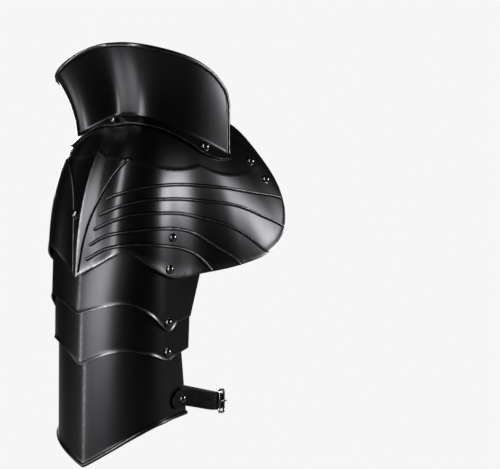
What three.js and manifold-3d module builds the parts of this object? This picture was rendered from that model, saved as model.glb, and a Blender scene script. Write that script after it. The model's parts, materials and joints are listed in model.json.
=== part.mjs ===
// Articulated shoulder guard of blackened sheet steel.
// Millimetres, +Z up. -X is the outer side, where the ridge runs, and -Y is the wearer's front.
// Heights are measured from the axis of the first pivot; the whole group then hangs from the
// seat on the shoulder, which is the origin.
import * as THREE from "three";
import { mergeVertices } from "three/addons/utils/BufferGeometryUtils.js";
import Module from "manifold-3d";

const wasm = await Module();
wasm.setup();

// Sheet, clearances and fasteners
const plateThickness = 1.5;
const gap = 0.3;
const rivetHeadRadius = 4.6;
const rivetHeadHeight = 2.6;
const rivetShankRadius = 2;
const burrRadius = 3.4;
const burrHeight = 0.9;
const holeClearance = 0.35;
const rimRadius = 2.2;

// Shoulder plate
const seatHeight = 134;
const crownHeight = 161;
const plateDrop = 100;
const crestWidth = 14;
const fluteWidth = 4.2;
const fluteHeight = 2.3;
const marginWidth = 12;

// Neck guard
const collarCentre = 96;
const collarHeight = 69;
const collarFlare = 19;
const flangeLift = 0.7;

// Arm lames and lower cannon
const armHalfWidth = 67.9;
const noseShare = 0.692;
const armNose = armHalfWidth * noseShare;
const armFullness = 2.1;
const crestRise = 3.8;
const sheetGap = 0.9;
const tuck = 3.2;
const lameOneLength = 55.5;
const lameTwoLength = 32;
const cannonLength = 110;
const lameOneReach = 78;
const lameTwoReach = 50;
const cannonReach = 38;

// The shoulder plate spreads with the arm tube that it covers.
const plateSpread = 2.209;
const crownShare = 0.898;
const plateReach = armHalfWidth * plateSpread;
const crownReach = armHalfWidth * crownShare;

// Strap and buckle
const strapWidth = 19.5;
const strapThickness = 2.4;
const strapReach = 118;
const strapEase = 11.1;
const strapHalfWidth = armHalfWidth + strapEase;
const strapDrop = 58;
const strapSag = 0.42;
const tabReach = 28;
const buckleWire = 1.4;
const buckleLength = 22;

// Colours and finish
const steel = () => new THREE.MeshStandardMaterial({ color: 0x17171a, roughness: 0.32, metalness: 0.9 });
const rivetSteel = () => new THREE.MeshStandardMaterial({ color: 0x1d1d20, roughness: 0.3, metalness: 0.9 });
const brightSteel = () => new THREE.MeshStandardMaterial({ color: 0xb9bcc0, roughness: 0.25, metalness: 1 });
const leather = () => new THREE.MeshStandardMaterial({ color: 0x16130f, roughness: 0.6, metalness: 0 });

const radians = THREE.MathUtils.degToRad;
const vector = (x, y, z) => new THREE.Vector3(x, y, z);

// Smooth reading of one column of a table at a place along its first column.
function readTable(table, key, at, column) {
  const last = table.length - 1;
  if (at <= table[0][key]) return table[0][column];
  if (at >= table[last][key]) return table[last][column];
  let i = 0;
  while (table[i + 1][key] < at) i += 1;
  const slope = (a, b) => (table[b][column] - table[a][column]) / (table[b][key] - table[a][key]);
  const here = slope(i, i + 1);
  const before = i > 0 ? (slope(i - 1, i) + here) / 2 : here;
  const after = i + 1 < last ? (slope(i + 1, i + 2) + here) / 2 : here;
  const span = table[i + 1][key] - table[i][key];
  const s = (at - table[i][key]) / span;
  const start = table[i][column] * (2 * s ** 3 - 3 * s ** 2 + 1) + before * span * (s ** 3 - 2 * s ** 2 + s);
  const end = table[i + 1][column] * (3 * s ** 2 - 2 * s ** 3) + after * span * (s ** 3 - s ** 2);
  return start + end;
}

// Shoulder plate: one meridian a row, from the crown out to the edge.
// bearing turns from the ridge (0) by the front to the neck side (180), in degrees.
// reach is the edge's share of plateReach, and rise its height as a share of plateDrop.
// shoulder and hip place the two handles of the meridian's curve, as shares of that reach,
// and lift and hang are their heights, as shares of the way down from crown to edge.
const meridians = [
  { bearing: 0, reach: 0.778, rise: -0.04, shoulder: 0.5, lift: 0.02, hip: 0.94, hang: 0.4 },
  { bearing: 12, reach: 0.748, rise: 0.1, shoulder: 0.52, lift: 0.02, hip: 0.94, hang: 0.4 },
  { bearing: 21.5, reach: 0.747, rise: 0.2, shoulder: 0.56, lift: 0.02, hip: 0.94, hang: 0.38 },
  { bearing: 30, reach: 0.728, rise: 0.18, shoulder: 0.6, lift: 0.02, hip: 0.94, hang: 0.36 },
  { bearing: 37, reach: 0.712, rise: 0.06, shoulder: 0.65, lift: 0.02, hip: 0.95, hang: 0.34 },
  { bearing: 46.5, reach: 0.649, rise: -0.08, shoulder: 0.72, lift: 0.02, hip: 0.97, hang: 0.32 },
  { bearing: 53, reach: 0.59, rise: -0.115, shoulder: 0.76, lift: 0.02, hip: 0.98, hang: 0.3 },
  { bearing: 65, reach: 0.54, rise: -0.13, shoulder: 0.8, lift: 0.02, hip: 0.99, hang: 0.28 },
  { bearing: 82, reach: 0.552, rise: -0.12, shoulder: 0.8, lift: 0.02, hip: 0.96, hang: 0.28 },
  { bearing: 103, reach: 0.725, rise: -0.08, shoulder: 0.7, lift: 0.02, hip: 0.84, hang: 0.36 },
  { bearing: 117, reach: 0.915, rise: 0.02, shoulder: 0.58, lift: 0.02, hip: 0.76, hang: 0.42 },
  { bearing: 126, reach: 1.027, rise: 0.2, shoulder: 0.52, lift: 0.02, hip: 0.76, hang: 0.46 },
  { bearing: 131, reach: 1.055, rise: 0.46, shoulder: 0.5, lift: 0.02, hip: 0.78, hang: 0.5 },
  { bearing: 134, reach: 1.015, rise: 0.71, shoulder: 0.48, lift: 0.02, hip: 0.8, hang: 0.5 },
  { bearing: 137, reach: 0.939, rise: 0.92, shoulder: 0.46, lift: 0.02, hip: 0.8, hang: 0.5 },
  { bearing: 141.5, reach: 0.76, rise: 1.29, shoulder: 0.42, lift: 0.02, hip: 0.78, hang: 0.5 },
  { bearing: 150, reach: 0.561, rise: 1.48, shoulder: 0.4, lift: 0.1, hip: 0.75, hang: 0.55 },
  { bearing: 165, reach: 0.427, rise: 1.65, shoulder: 0.35, lift: 0.3, hip: 0.7, hang: 0.65 },
  { bearing: 180, reach: 0.38, rise: 1.7, shoulder: 0.33, lift: 0.33, hip: 0.67, hang: 0.67 },
];

const meridianAt = (bearing) => {
  const row = {};
  for (const column of ["reach", "rise", "shoulder", "lift", "hip", "hang"])
    row[column] = readTable(meridians, "bearing", Math.abs(bearing), column);
  return row;
};

// A point on the outer face of the shoulder plate. fall is 0 at the crown and 1 at the edge.
function platePoint(bearing, fall) {
  const row = meridianAt(bearing);
  const reach = row.reach * plateReach;
  const edge = row.rise * plateDrop;
  const back = 1 - fall;
  const near = 3 * back * back * fall;
  const far = 3 * back * fall * fall;
  const out = reach * (near * row.shoulder + far * row.hip + fall ** 3);
  const level = crownHeight + (edge - crownHeight) * (near * row.lift + far * row.hang + fall ** 3);
  const turn = radians(bearing);
  return vector(crownReach - out * Math.cos(turn), -out * Math.sin(turn), level);
}

// The outward normal of the plate, from two small steps over its face.
function plateNormal(bearing, fall) {
  const step = 0.5;
  const side = bearing < 0 ? -1 : 1;
  const inner = Math.max(fall, 0.05);
  const from = platePoint(bearing, inner);
  const around = platePoint(bearing + side * step, inner).sub(from);
  const down = platePoint(bearing, Math.min(inner + 0.01, 1.02)).sub(from);
  return around.cross(down).multiplyScalar(-side).normalize();
}

// The fall at which a meridian passes a height.
function fallAtHeight(bearing, height) {
  let low = 0.02;
  let high = 1;
  for (let i = 0; i < 30; i += 1) {
    const middle = (low + high) / 2;
    if (platePoint(bearing, middle).z > height) low = middle;
    else high = middle;
  }
  return (low + high) / 2;
}

// The bearing and fall of the plate point over a place in plan.
function plateOver(x, y) {
  const bearing = THREE.MathUtils.radToDeg(Math.atan2(-y, crownReach - x));
  const wanted = Math.hypot(crownReach - x, y);
  let low = 0;
  let high = 1;
  for (let i = 0; i < 30; i += 1) {
    const middle = (low + high) / 2;
    const point = platePoint(bearing, middle);
    if (Math.hypot(crownReach - point.x, point.y) < wanted) low = middle;
    else high = middle;
  }
  return { bearing, fall: (low + high) / 2 };
}

// A closed body from shared points and triangles, with its faces turned outwards.
function bodyOf(points, faces) {
  const volume = faces.reduce((sum, [a, b, c]) => {
    return sum + points[a].dot(points[b].clone().cross(points[c]));
  }, 0);
  const turned = volume < 0 ? faces.map(([a, b, c]) => [a, c, b]) : faces;
  const geometry = new THREE.BufferGeometry();
  geometry.setAttribute("position", new THREE.Float32BufferAttribute(points.flatMap((p) => p.toArray()), 3));
  geometry.setIndex(turned.flat());
  return geometry;
}

// A sheet of even thickness behind a face given as rows of points.
// wrap joins the last column to the first, and pole makes the first row one point.
function sheetBody(rows, thickness, { wrap = false, pole = false } = {}) {
  const columns = rows[0].length;
  const points = [];
  const at = rows.map((row, r) => {
    if (pole && r === 0) {
      points.push(row[0]);
      return row.map(() => 0);
    }
    return row.map((point) => points.push(point) - 1);
  });
  const faces = [];
  const quads = wrap ? columns : columns - 1;
  for (let r = 0; r + 1 < rows.length; r += 1)
    for (let c = 0; c < quads; c += 1) {
      const next = (c + 1) % columns;
      if (!(pole && r === 0)) faces.push([at[r][c], at[r][next], at[r + 1][next]]);
      faces.push([at[r][c], at[r + 1][next], at[r + 1][c]]);
    }
  const face = new THREE.BufferGeometry();
  face.setAttribute("position", new THREE.Float32BufferAttribute(points.flatMap((p) => p.toArray()), 3));
  face.setIndex(faces.flat());
  face.computeVertexNormals();
  const normals = face.getAttribute("normal");
  const count = points.length;
  const behind = points.map((p, i) => {
    return p.clone().addScaledVector(vector(normals.getX(i), normals.getY(i), normals.getZ(i)), -thickness);
  });
  const all = [...points, ...behind];
  const closed = [...faces, ...faces.map(([a, b, c]) => [a + count, c + count, b + count])];
  const border = [];
  const last = rows.length - 1;
  for (let c = 0; c < quads; c += 1) {
    border.push([at[last][(c + 1) % columns], at[last][c]]);
    if (!pole) border.push([at[0][c], at[0][(c + 1) % columns]]);
  }
  if (!wrap)
    for (let r = 0; r < last; r += 1) {
      border.push([at[r + 1][0], at[r][0]]);
      border.push([at[r][columns - 1], at[r + 1][columns - 1]]);
    }
  for (const [a, b] of border) closed.push([b, a, a + count], [b, a + count, b + count]);
  return bodyOf(all, closed);
}

// Solids for cutting and joining
function solidOf(geometry) {
  const plain = geometry.clone();
  plain.deleteAttribute("normal");
  plain.deleteAttribute("uv");
  const merged = mergeVertices(plain, 1e-4);
  const vertProperties = new Float32Array(merged.getAttribute("position").array);
  const triVerts = new Uint32Array(merged.index.array);
  return new wasm.Manifold(new wasm.Mesh({ numProp: 3, vertProperties, triVerts }));
}

function geometryOf(solid) {
  const mesh = solid.getMesh();
  const points = new Float32Array(mesh.numVert * 3);
  for (let i = 0; i < mesh.numVert; i += 1)
    points.set(mesh.vertProperties.subarray(i * mesh.numProp, i * mesh.numProp + 3), i * 3);
  const geometry = new THREE.BufferGeometry();
  geometry.setAttribute("position", new THREE.BufferAttribute(points, 3));
  geometry.setIndex(new THREE.BufferAttribute(new Uint32Array(mesh.triVerts), 1));
  geometry.computeVertexNormals();
  return geometry;
}

// A round bar along a curve.
function barAlong(curve, steps, radius, sides) {
  const outline = new THREE.Shape();
  for (let i = 0; i < sides; i += 1) {
    const turn = (i / sides) * Math.PI * 2;
    if (i === 0) outline.moveTo(radius, 0);
    else outline.lineTo(radius * Math.cos(turn), radius * Math.sin(turn));
  }
  outline.closePath();
  return new THREE.ExtrudeGeometry(outline, { steps, extrudePath: curve, bevelEnabled: false });
}

// A raised bead along points of a face: its foot is buried, and it dies away at both ends.
const beadRoot = 0.6;
const beadEnd = 0.35;
function beadBody(path, normals, width, height) {
  const points = [];
  const faces = [];
  const last = path.length - 1;
  path.forEach((p, i) => {
    const along = path[Math.min(i + 1, last)].clone().sub(path[Math.max(i - 1, 0)]).normalize();
    const across = along.clone().cross(normals[i]).normalize();
    const swell = i === 0 || i === last ? beadEnd : 1;
    const corner = (side, up) => {
      return p.clone().addScaledVector(across, side * width * swell).addScaledVector(normals[i], up);
    };
    points.push(corner(-0.6, -beadRoot), corner(0, height * swell), corner(0.6, -beadRoot));
  });
  for (let i = 0; i < last; i += 1)
    for (let k = 0; k < 3; k += 1) {
      const a = i * 3 + k;
      const b = i * 3 + ((k + 1) % 3);
      faces.push([a, b, b + 3], [a, b + 3, a + 3]);
    }
  const end = last * 3;
  faces.push([0, 2, 1], [end, end + 1, end + 2]);
  return bodyOf(points, faces);
}

const zAxis = vector(0, 0, 1);
const turnTo = (normal) => new THREE.Quaternion().setFromUnitVectors(zAxis, normal);

function placed(geometry, point, normal) {
  return geometry.clone().applyQuaternion(turnTo(normal)).translate(point.x, point.y, point.z);
}

// Domed rivet: its head stands on the outer sheet and its burr closes the inner one.
const rivetSides = 7;
function rivetBody(stack, lift) {
  const burrTop = -(stack + gap);
  const profile = [
    new THREE.Vector2(0, lift + rivetHeadHeight),
    new THREE.Vector2(rivetHeadRadius * 0.7, lift + rivetHeadHeight * 0.7),
    new THREE.Vector2(rivetHeadRadius, lift),
    new THREE.Vector2(rivetShankRadius, lift),
    new THREE.Vector2(rivetShankRadius, burrTop),
    new THREE.Vector2(burrRadius, burrTop),
    new THREE.Vector2(burrRadius, burrTop - burrHeight),
    new THREE.Vector2(0, burrTop - burrHeight),
  ].reverse();
  return new THREE.LatheGeometry(profile, rivetSides).rotateX(Math.PI / 2);
}

const holeTool = (point, normal) => {
  const bore = new THREE.CylinderGeometry(rivetShankRadius + holeClearance, rivetShankRadius + holeClearance, 16, 8);
  return solidOf(placed(bore.rotateX(Math.PI / 2), point, normal));
};

// Arm section: s runs from the ridge (0) to the front (1) and on to the inner edge (2).
function armSection(nose, halfWidth, innerReach, s) {
  if (s <= 1) {
    const turn = (s * Math.PI) / 2;
    const x = -nose * Math.cos(turn) ** (2 / armFullness);
    const crest = crestRise * Math.exp(-(((s * 90) / crestWidth) ** 2));
    return { x: x - crest, y: halfWidth * Math.sin(turn) ** (2 / armFullness) };
  }
  const on = s - 1;
  return { x: innerReach * on, y: halfWidth - tuck * on * on };
}

// Each arm plate: its own widths at the axis that carries it, how they grow downwards,
// and its upper and lower edges. top and foot are heights as shares of its length, measured
// from that axis and read at s.
const armPlates = {
  lame_1: {
    axis: 0,
    length: lameOneLength,
    nose: armNose,
    spread: 0.16,
    halfWidth: armHalfWidth,
    widen: 0.012,
    reach: lameOneReach,
    reachLoss: 0.5,
    edges: [
      { s: 0, top: 0.5, foot: -0.755 },
      { s: 0.25, top: 0.6, foot: -0.6 },
      { s: 0.5, top: 0.64, foot: -0.56 },
      { s: 0.75, top: 0.46, foot: -0.8 },
      { s: 1, top: 0.25, foot: -1.17 },
      { s: 1.35, top: 0.2, foot: -1.09 },
      { s: 2, top: 0.1, foot: -1.1 },
    ],
  },
  lame_2: {
    axis: -lameOneLength,
    length: lameTwoLength,
    nose: armNose + 2.6,
    spread: 0.094,
    halfWidth: armHalfWidth - plateThickness - sheetGap + 0.66,
    widen: 0.02,
    reach: lameTwoReach,
    reachLoss: 0.12,
    edges: [
      { s: 0, top: 0.84, foot: -1.22 },
      { s: 0.25, top: 1.1, foot: -0.84 },
      { s: 0.5, top: 1.2, foot: -0.74 },
      { s: 0.75, top: 0.8, foot: -0.95 },
      { s: 1, top: 0.38, foot: -1.27 },
      { s: 1.35, top: 0.34, foot: -1.25 },
      { s: 2, top: 0.3, foot: -1.26 },
    ],
  },
  lower_cannon: {
    axis: -lameOneLength - lameTwoLength,
    length: cannonLength,
    nose: armNose - 1,
    spread: 0.073,
    halfWidth: armHalfWidth - 2 * (plateThickness + sheetGap) + 1.3,
    widen: 0.023,
    reach: cannonReach - 4,
    reachLoss: -0.07,
    edges: [
      { s: 0, top: 0.08, foot: -1.04 },
      { s: 0.25, top: 0.17, foot: -0.88 },
      { s: 0.5, top: 0.2, foot: -0.75 },
      { s: 0.75, top: 0.16, foot: -0.675 },
      { s: 1, top: 0.11, foot: -0.665 },
      { s: 1.5, top: 0.09, foot: -0.69 },
      { s: 2, top: 0.07, foot: -0.725 },
    ],
    backEdges: [
      { s: 0, top: 0.08, foot: -1.04 },
      { s: 0.25, top: 0.17, foot: -0.975 },
      { s: 0.5, top: 0.2, foot: -0.925 },
      { s: 0.75, top: 0.16, foot: -0.9 },
      { s: 1, top: 0.11, foot: -0.89 },
      { s: 1.5, top: 0.09, foot: -0.88 },
      { s: 2, top: 0.07, foot: -0.87 },
    ],
  },
};

// A point on the outer face of an arm plate at s, and at a height above or below its axis.
function armPoint(plate, s, height) {
  const nose = plate.nose - plate.spread * height;
  const halfWidth = plate.halfWidth - plate.widen * height;
  const reach = plate.reach + plate.reachLoss * height;
  const place = armSection(nose, halfWidth, reach, Math.abs(s));
  return vector(place.x, s < 0 ? place.y : -place.y, plate.axis + height);
}

// The cannon's lower edge reaches further down behind than in front.
function armEdge(plate, s, column) {
  const edges = s < 0 && plate.backEdges ? plate.backEdges : plate.edges;
  return plate.length * readTable(edges, "s", Math.abs(s), column);
}

const armStops = [0, 0.06, 0.15, 0.28, 0.42, 0.56, 0.7, 0.84, 1, 1.25, 1.6, 2];
const armColumns = [...armStops.slice(1).reverse(), ...armStops.map((s) => -s)];

function armPlateSolid(plate, rowCount) {
  const rows = [];
  for (let r = 0; r <= rowCount; r += 1)
    rows.push(
      armColumns.map((s) => {
        const top = armEdge(plate, s, "top");
        const foot = armEdge(plate, s, "foot");
        return armPoint(plate, s, top + ((foot - top) * r) / rowCount);
      }),
    );
  return solidOf(sheetBody(rows, plateThickness));
}

// Shoulder plate
const plateBearings = [0, 3, 8, 15, 23, 31, 39, 47, 55, 66, 78, 90, 102, 113, 122, 128.5, 133, 136.5, 141, 148];
plateBearings.push(162);
const plateColumns = [180, ...plateBearings.slice(1).reverse(), ...plateBearings.map((b) => -b)];
const plateFalls = [0, 0.15, 0.3, 0.45, 0.6, 0.73, 0.87, 1];

// Flutes from near the ridge to the wing's edge: bearings in degrees, heights as shares of plateDrop.
const flutes = [
  { from: 1, fromHeight: 0.02, by: 11.5, byHeight: 0.75, to: 25.5, toHeight: 1.08 },
  { from: 13, fromHeight: 0.71, by: 62, byHeight: 0.82, to: 131, toHeight: 0.56 },
  { from: 9.4, fromHeight: 0.56, by: 60, byHeight: 0.68, to: 126, toHeight: 0.26 },
  { from: 7.3, fromHeight: 0.42, by: 60, byHeight: 0.53, to: 115, toHeight: 0.03 },
  { from: 5.5, fromHeight: 0.28, by: 50, byHeight: 0.41, to: 101, toHeight: -0.05 },
  { from: 4, fromHeight: 0.13, by: 41, byHeight: 0.25, to: 80, toHeight: 0 },
];

// The back half is smooth apart from the flute beside the ridge.
const ridgeFlute = flutes.slice(0, 1);

// Scallops of the raised panel's upper edge, in the same way.
const scallops = [
  { from: 1.5, fromHeight: 1.17, by: 13, byHeight: 1.1, to: 25, toHeight: 1.11 },
  { from: 25.5, fromHeight: 1.11, by: 55, byHeight: 0.985, to: 85, toHeight: 0.998 },
  { from: 86, fromHeight: 0.998, by: 108, byHeight: 0.87, to: 134, toHeight: 0.915 },
];

// Points of a quadratic run through three places of a table row.
function reliefRun(row, side, steps) {
  const path = [];
  const normals = [];
  for (let i = 0; i <= steps; i += 1) {
    const s = i / steps;
    const mix = (a, b, c) => a * (2 * s - 1) * (s - 1) + b * 4 * s * (1 - s) + c * s * (2 * s - 1);
    const bearing = side * mix(row.from, row.by, row.to);
    const height = plateDrop * mix(row.fromHeight, row.byHeight, row.toHeight);
    const fall = fallAtHeight(bearing, height);
    path.push(platePoint(bearing, fall));
    normals.push(plateNormal(bearing, fall));
  }
  return { path, normals };
}

// Doubled bead along the neck side, inside a plain margin.
const marginBearings = [136.5, 138.5, 142, 148, 160, 180];
function marginRun(side, inset) {
  const path = [];
  const normals = [];
  for (const bearing of marginBearings) {
    const reach = meridianAt(bearing).reach * plateReach;
    const fall = 1 - (inset / reach) * 1.1;
    path.push(platePoint(side * bearing, fall));
    normals.push(plateNormal(side * bearing, fall));
  }
  return { path, normals };
}

const plateRivets = [
  { name: "rivet_ridge", bearing: -4.5, height: 0.56, lift: 0.8 },
  { name: "rivet_plate", bearing: 52.5, height: 0.31, lift: 1, paired: true },
  { name: "rivet_neck_upper", bearing: 130, height: 0.99, lift: 0.7, paired: true },
  { name: "rivet_neck_lower", bearing: 130.5, height: 0.78, lift: 0.7, paired: true },
];

const rivets = [];
const holes = { main_plate: [], neck_guard: [], lame_1: [], lame_2: [], lower_cannon: [], arm_strap: [] };
function addRivet(name, point, normal, stack, through, lift = gap) {
  rivets.push({ name, point, normal, stack, lift });
  for (const node of through) holes[node].push([point, normal]);
}

const sides = [
  { tag: "front", sign: 1 },
  { tag: "back", sign: -1 },
];

for (const row of plateRivets)
  for (const side of row.paired ? sides : [{ tag: "", sign: 1 }]) {
    const bearing = side.sign * row.bearing;
    const fall = fallAtHeight(bearing, row.height * plateDrop);
    const name = side.tag ? `${row.name}_${side.tag}` : row.name;
    const stack = plateThickness + row.lift;
    addRivet(name, platePoint(bearing, fall), plateNormal(bearing, fall), stack, ["main_plate"], row.lift);
  }

// Neck guard: u runs from its back end (-1) over the ridge (0) to its front end (1).
// bearing and level place the bend on the plate, skirt and hem the flange's edge; levels are
// shares of plateDrop. height and flare are the wall's, as shares of collarHeight and collarFlare.
const collarTable = [
  { u: -1, bearing: -116, level: 1.08, skirt: -117, hem: 1.025, height: 0.92, flare: 0 },
  { u: -0.85, bearing: -95, level: 1.2, skirt: -92, hem: 1.09, height: 0.96, flare: 0.3 },
  { u: -0.7, bearing: -70, level: 1.25, skirt: -68, hem: 1.14, height: 0.96, flare: 0.65 },
  { u: -0.55, bearing: -46, level: 1.24, skirt: -45, hem: 1.13, height: 0.95, flare: 0.95 },
  { u: -0.42, bearing: -31, level: 1.27, skirt: -29, hem: 1.17, height: 0.97, flare: 1 },
  { u: -0.35, bearing: -26, level: 1.34, skirt: -23.5, hem: 1.24, height: 1.05, flare: 1 },
  { u: -0.25, bearing: -19, level: 1.44, skirt: -16.5, hem: 1.34, height: 1.06, flare: 0.98 },
  { u: -0.15, bearing: -11, level: 1.49, skirt: -9, hem: 1.4, height: 1.01, flare: 0.93 },
  { u: 0, bearing: 0, level: 1.5, skirt: 0, hem: 1.4, height: 1, flare: 0.9 },
  { u: 0.14, bearing: 15, level: 1.505, skirt: 18, hem: 1.43, height: 1, flare: 0.95 },
  { u: 0.35, bearing: 38.7, level: 1.485, skirt: 38, hem: 1.41, height: 1, flare: 1 },
  { u: 0.53, bearing: 59.5, level: 1.43, skirt: 56, hem: 1.36, height: 1.02, flare: 0.92 },
  { u: 0.69, bearing: 78, level: 1.35, skirt: 74, hem: 1.27, height: 1.07, flare: 0.6 },
  { u: 0.8, bearing: 91, level: 1.285, skirt: 85, hem: 1.19, height: 1.09, flare: 0.35 },
  { u: 0.87, bearing: 99, level: 1.24, skirt: 91, hem: 1.125, height: 1.1, flare: 0.22 },
  { u: 0.95, bearing: 109.5, level: 1.155, skirt: 104, hem: 1.05, height: 1.11, flare: 0.08 },
  { u: 1, bearing: 116, level: 1.08, skirt: 116.5, hem: 1.025, height: 1, flare: 0 },
];
const collarAt = (u, column) => readTable(collarTable, "u", u, column);

const collarColumns = [-1, -0.96, -0.9, -0.82, -0.73, -0.64, -0.56, -0.49, -0.42, -0.35, -0.28, -0.2, -0.12, -0.06];
collarColumns.push(0, 0.06, 0.14, 0.24, 0.34, 0.44, 0.54, 0.63, 0.72, 0.8, 0.87, 0.93, 0.97, 1);
const wallShares = [0.06, 0.28, 0.52, 0.76, 1];

function liftedPlate(bearing, level, lift) {
  const fall = fallAtHeight(bearing, level * plateDrop);
  return platePoint(bearing, fall).addScaledVector(plateNormal(bearing, fall), lift);
}

function collarColumn(u) {
  const lift = flangeLift + plateThickness;
  const foot = liftedPlate(collarAt(u, "bearing"), collarAt(u, "level"), lift);
  const hem = liftedPlate(collarAt(u, "skirt"), collarAt(u, "hem"), lift);
  const outward = vector(foot.x - collarCentre, foot.y, 0).normalize();
  const height = collarHeight * collarAt(u, "height");
  const flare = collarFlare * collarAt(u, "flare");
  const column = [hem, foot];
  for (const share of wallShares) {
    const point = foot.clone().addScaledVector(outward, flare * share * share);
    point.z += height * share;
    column.push(point);
  }
  return column;
}

const collarGrid = collarColumns.map(collarColumn);
const collarRows = collarGrid[0].map((_, r) => collarGrid.map((column) => column[r]));
const rimSteps = 28;
const rimSides = 5;

function collarSolid() {
  let solid = solidOf(sheetBody(collarRows, plateThickness));
  const topRow = collarRows[collarRows.length - 1];
  const lowRow = collarRows[2];
  const rim = [lowRow[0], ...topRow.slice(1, -1), lowRow[lowRow.length - 1]];
  const curve = new THREE.CatmullRomCurve3(rim, false, "centripetal");
  solid = solid.add(solidOf(barAlong(curve, rimSteps, rimRadius, rimSides)));
  return solid;
}

// Flange rivets stand midway between the bend and the flange's edge.
const flangeRivets = [
  { tag: "front", u: 0.88, lift: 0.3, play: 0.9 },
  { tag: "back", u: -0.88, lift: 0.3, play: 0.9 },
  { tag: "ridge", u: -0.045, lift: 0.6, play: 0 },
];
const flangeStack = 2 * plateThickness + flangeLift + gap;
for (const row of flangeRivets) {
  const column = collarColumn(row.u);
  const point = column[0].clone().lerp(column[1], 0.5);
  const spot = plateOver(point.x, point.y);
  const normal = plateNormal(spot.bearing, spot.fall);
  const seat = point.addScaledVector(normal, row.lift);
  const stack = flangeStack + row.lift + row.play;
  addRivet(`rivet_flange_${row.tag}`, seat, normal, stack, ["neck_guard", "main_plate"]);
}

// Pivots between the plates: each axis runs along Y through both sides.
const pivotPlay = 0.4;
const pivotBearing = 49.2;
const pivotRows = [
  { name: "pivot_1", outer: "main_plate", inner: "lame_1", height: 0 },
  { name: "pivot_2", outer: "lame_1", inner: "lame_2", height: -lameOneLength },
  { name: "pivot_3", outer: "lame_2", inner: "lower_cannon", height: -lameOneLength - lameTwoLength },
];
const armFace = (name, height) => {
  const plate = armPlates[name];
  return plate.halfWidth - plate.widen * (height - plate.axis);
};
for (const row of pivotRows)
  for (const side of sides) {
    const face =
      row.outer === "main_plate"
        ? Math.abs(platePoint(pivotBearing, fallAtHeight(pivotBearing, 0)).y)
        : armFace(row.outer, row.height);
    const point = vector(0, -side.sign * face, row.height);
    const lift = row.outer === "main_plate" ? 0.7 : 0.45;
    const stack = face - armFace(row.inner, row.height) + plateThickness + pivotPlay;
    addRivet(`${row.name}_${side.tag}`, point, vector(0, -side.sign, 0), stack, [row.outer, row.inner], lift);
  }

// Strap: a whole loop at one height, from its front tab round the inner side to its back tab.
const cannon = armPlates.lower_cannon;
const strapHeight = -strapDrop;
function strapPath() {
  const points = [];
  const seat = cannon.halfWidth - cannon.widen * strapHeight + gap;
  const level = cannon.axis + strapHeight;
  for (const share of [0.3, 0.72, 1.1]) points.push(vector(tabReach * share, -seat, level));
  const middle = tabReach * 1.35;
  for (let i = 1; i <= 9; i += 1) {
    const turn = ((9 - i) / 9) * (Math.PI / 2);
    const x = middle + (strapReach - middle) * Math.cos(turn) ** 0.75;
    const sag = strapSag * (x - tabReach * 1.1);
    points.push(vector(x, -strapHalfWidth * Math.sin(turn) ** 0.75, level - sag));
  }
  const mirrored = points.slice(0, -1).reverse();
  return [...points, ...mirrored.map((p) => vector(p.x, -p.y, p.z))];
}
const strapCurve = new THREE.CatmullRomCurve3(strapPath(), false, "centripetal");

function strapFrame(s) {
  const point = strapCurve.getPointAt(s);
  const along = strapCurve.getTangentAt(s);
  const out = vector(along.y, -along.x, 0).normalize();
  return { point, along, out, up: out.clone().cross(along) };
}

function strapBand(from, to, steps, near, width) {
  const rows = [];
  for (const side of [-1, 1]) {
    const row = [];
    for (let i = 0; i <= steps; i += 1) {
      const s = from + ((to - from) * i) / steps;
      const { point, out, up } = strapFrame(s);
      const reach = Math.min(s - from, to - s) * strapCurve.getLength();
      const round = width / 2;
      const half = reach < round ? Math.sqrt(Math.max(round ** 2 - (round - reach) ** 2, 4)) : round;
      row.push(point.addScaledVector(out, near + strapThickness).addScaledVector(up, side * half));
    }
    rows.push(row);
  }
  return sheetBody(rows, strapThickness);
}

const keeperPlay = 1.1;
const keeperWall = 1.6;
const keeperLength = 8;
const strapEnd = 0.045;
const strapBurrPlay = 1.6;
for (const side of sides) {
  const s = side.sign > 0 ? strapEnd : 1 - strapEnd;
  const { point, out } = strapFrame(s);
  point.addScaledVector(out, strapThickness);
  const stack = strapThickness + gap + plateThickness + strapBurrPlay;
  addRivet(`rivet_strap_${side.tag}`, point, out.clone(), stack, ["arm_strap", "lower_cannon"], gap * 2);
}

// Buckle: a wire frame on the strap's outer face, with its prong across the middle.
const buckleAt = 0.28;
const buckleSeat = 0.15;
const keeperAt = 0.8;
function buckleFrameBody() {
  const halfLength = buckleLength / 2;
  const halfWidth = strapWidth / 2 + buckleWire + 1.2;
  const corner = 3;
  const outline = [];
  for (const [sx, sy] of [
    [1, 1],
    [-1, 1],
    [-1, -1],
    [1, -1],
  ]) {
    const near = vector(sx * halfLength, sy * (halfWidth - corner), 0);
    const far = vector(sx * (halfLength - corner), sy * halfWidth, 0);
    outline.push(...(sx * sy > 0 ? [near, far] : [far, near]));
  }
  const curve = new THREE.CatmullRomCurve3(outline, true, "centripetal");
  return barAlong(curve, 20, buckleWire, 5);
}

function onStrap(geometry, s, lift) {
  const { point, along, out, up } = strapFrame(s);
  const frame = new THREE.Matrix4().makeBasis(along, up, out);
  frame.setPosition(point.addScaledVector(out, lift));
  return geometry.clone().applyMatrix4(frame);
}

const buckleLift = strapThickness + buckleSeat + buckleWire;
const buckleFrame = onStrap(buckleFrameBody(), buckleAt, buckleLift);
const prongLine = new THREE.LineCurve3(
  vector(-buckleLength / 2 + 2 * buckleWire, 0, 0),
  vector(buckleLength / 2 - 2 * buckleWire, 0, 0),
);
const buckleProng = onStrap(barAlong(prongLine, 1, buckleWire * 0.8, 6), buckleAt, buckleLift);

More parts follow.
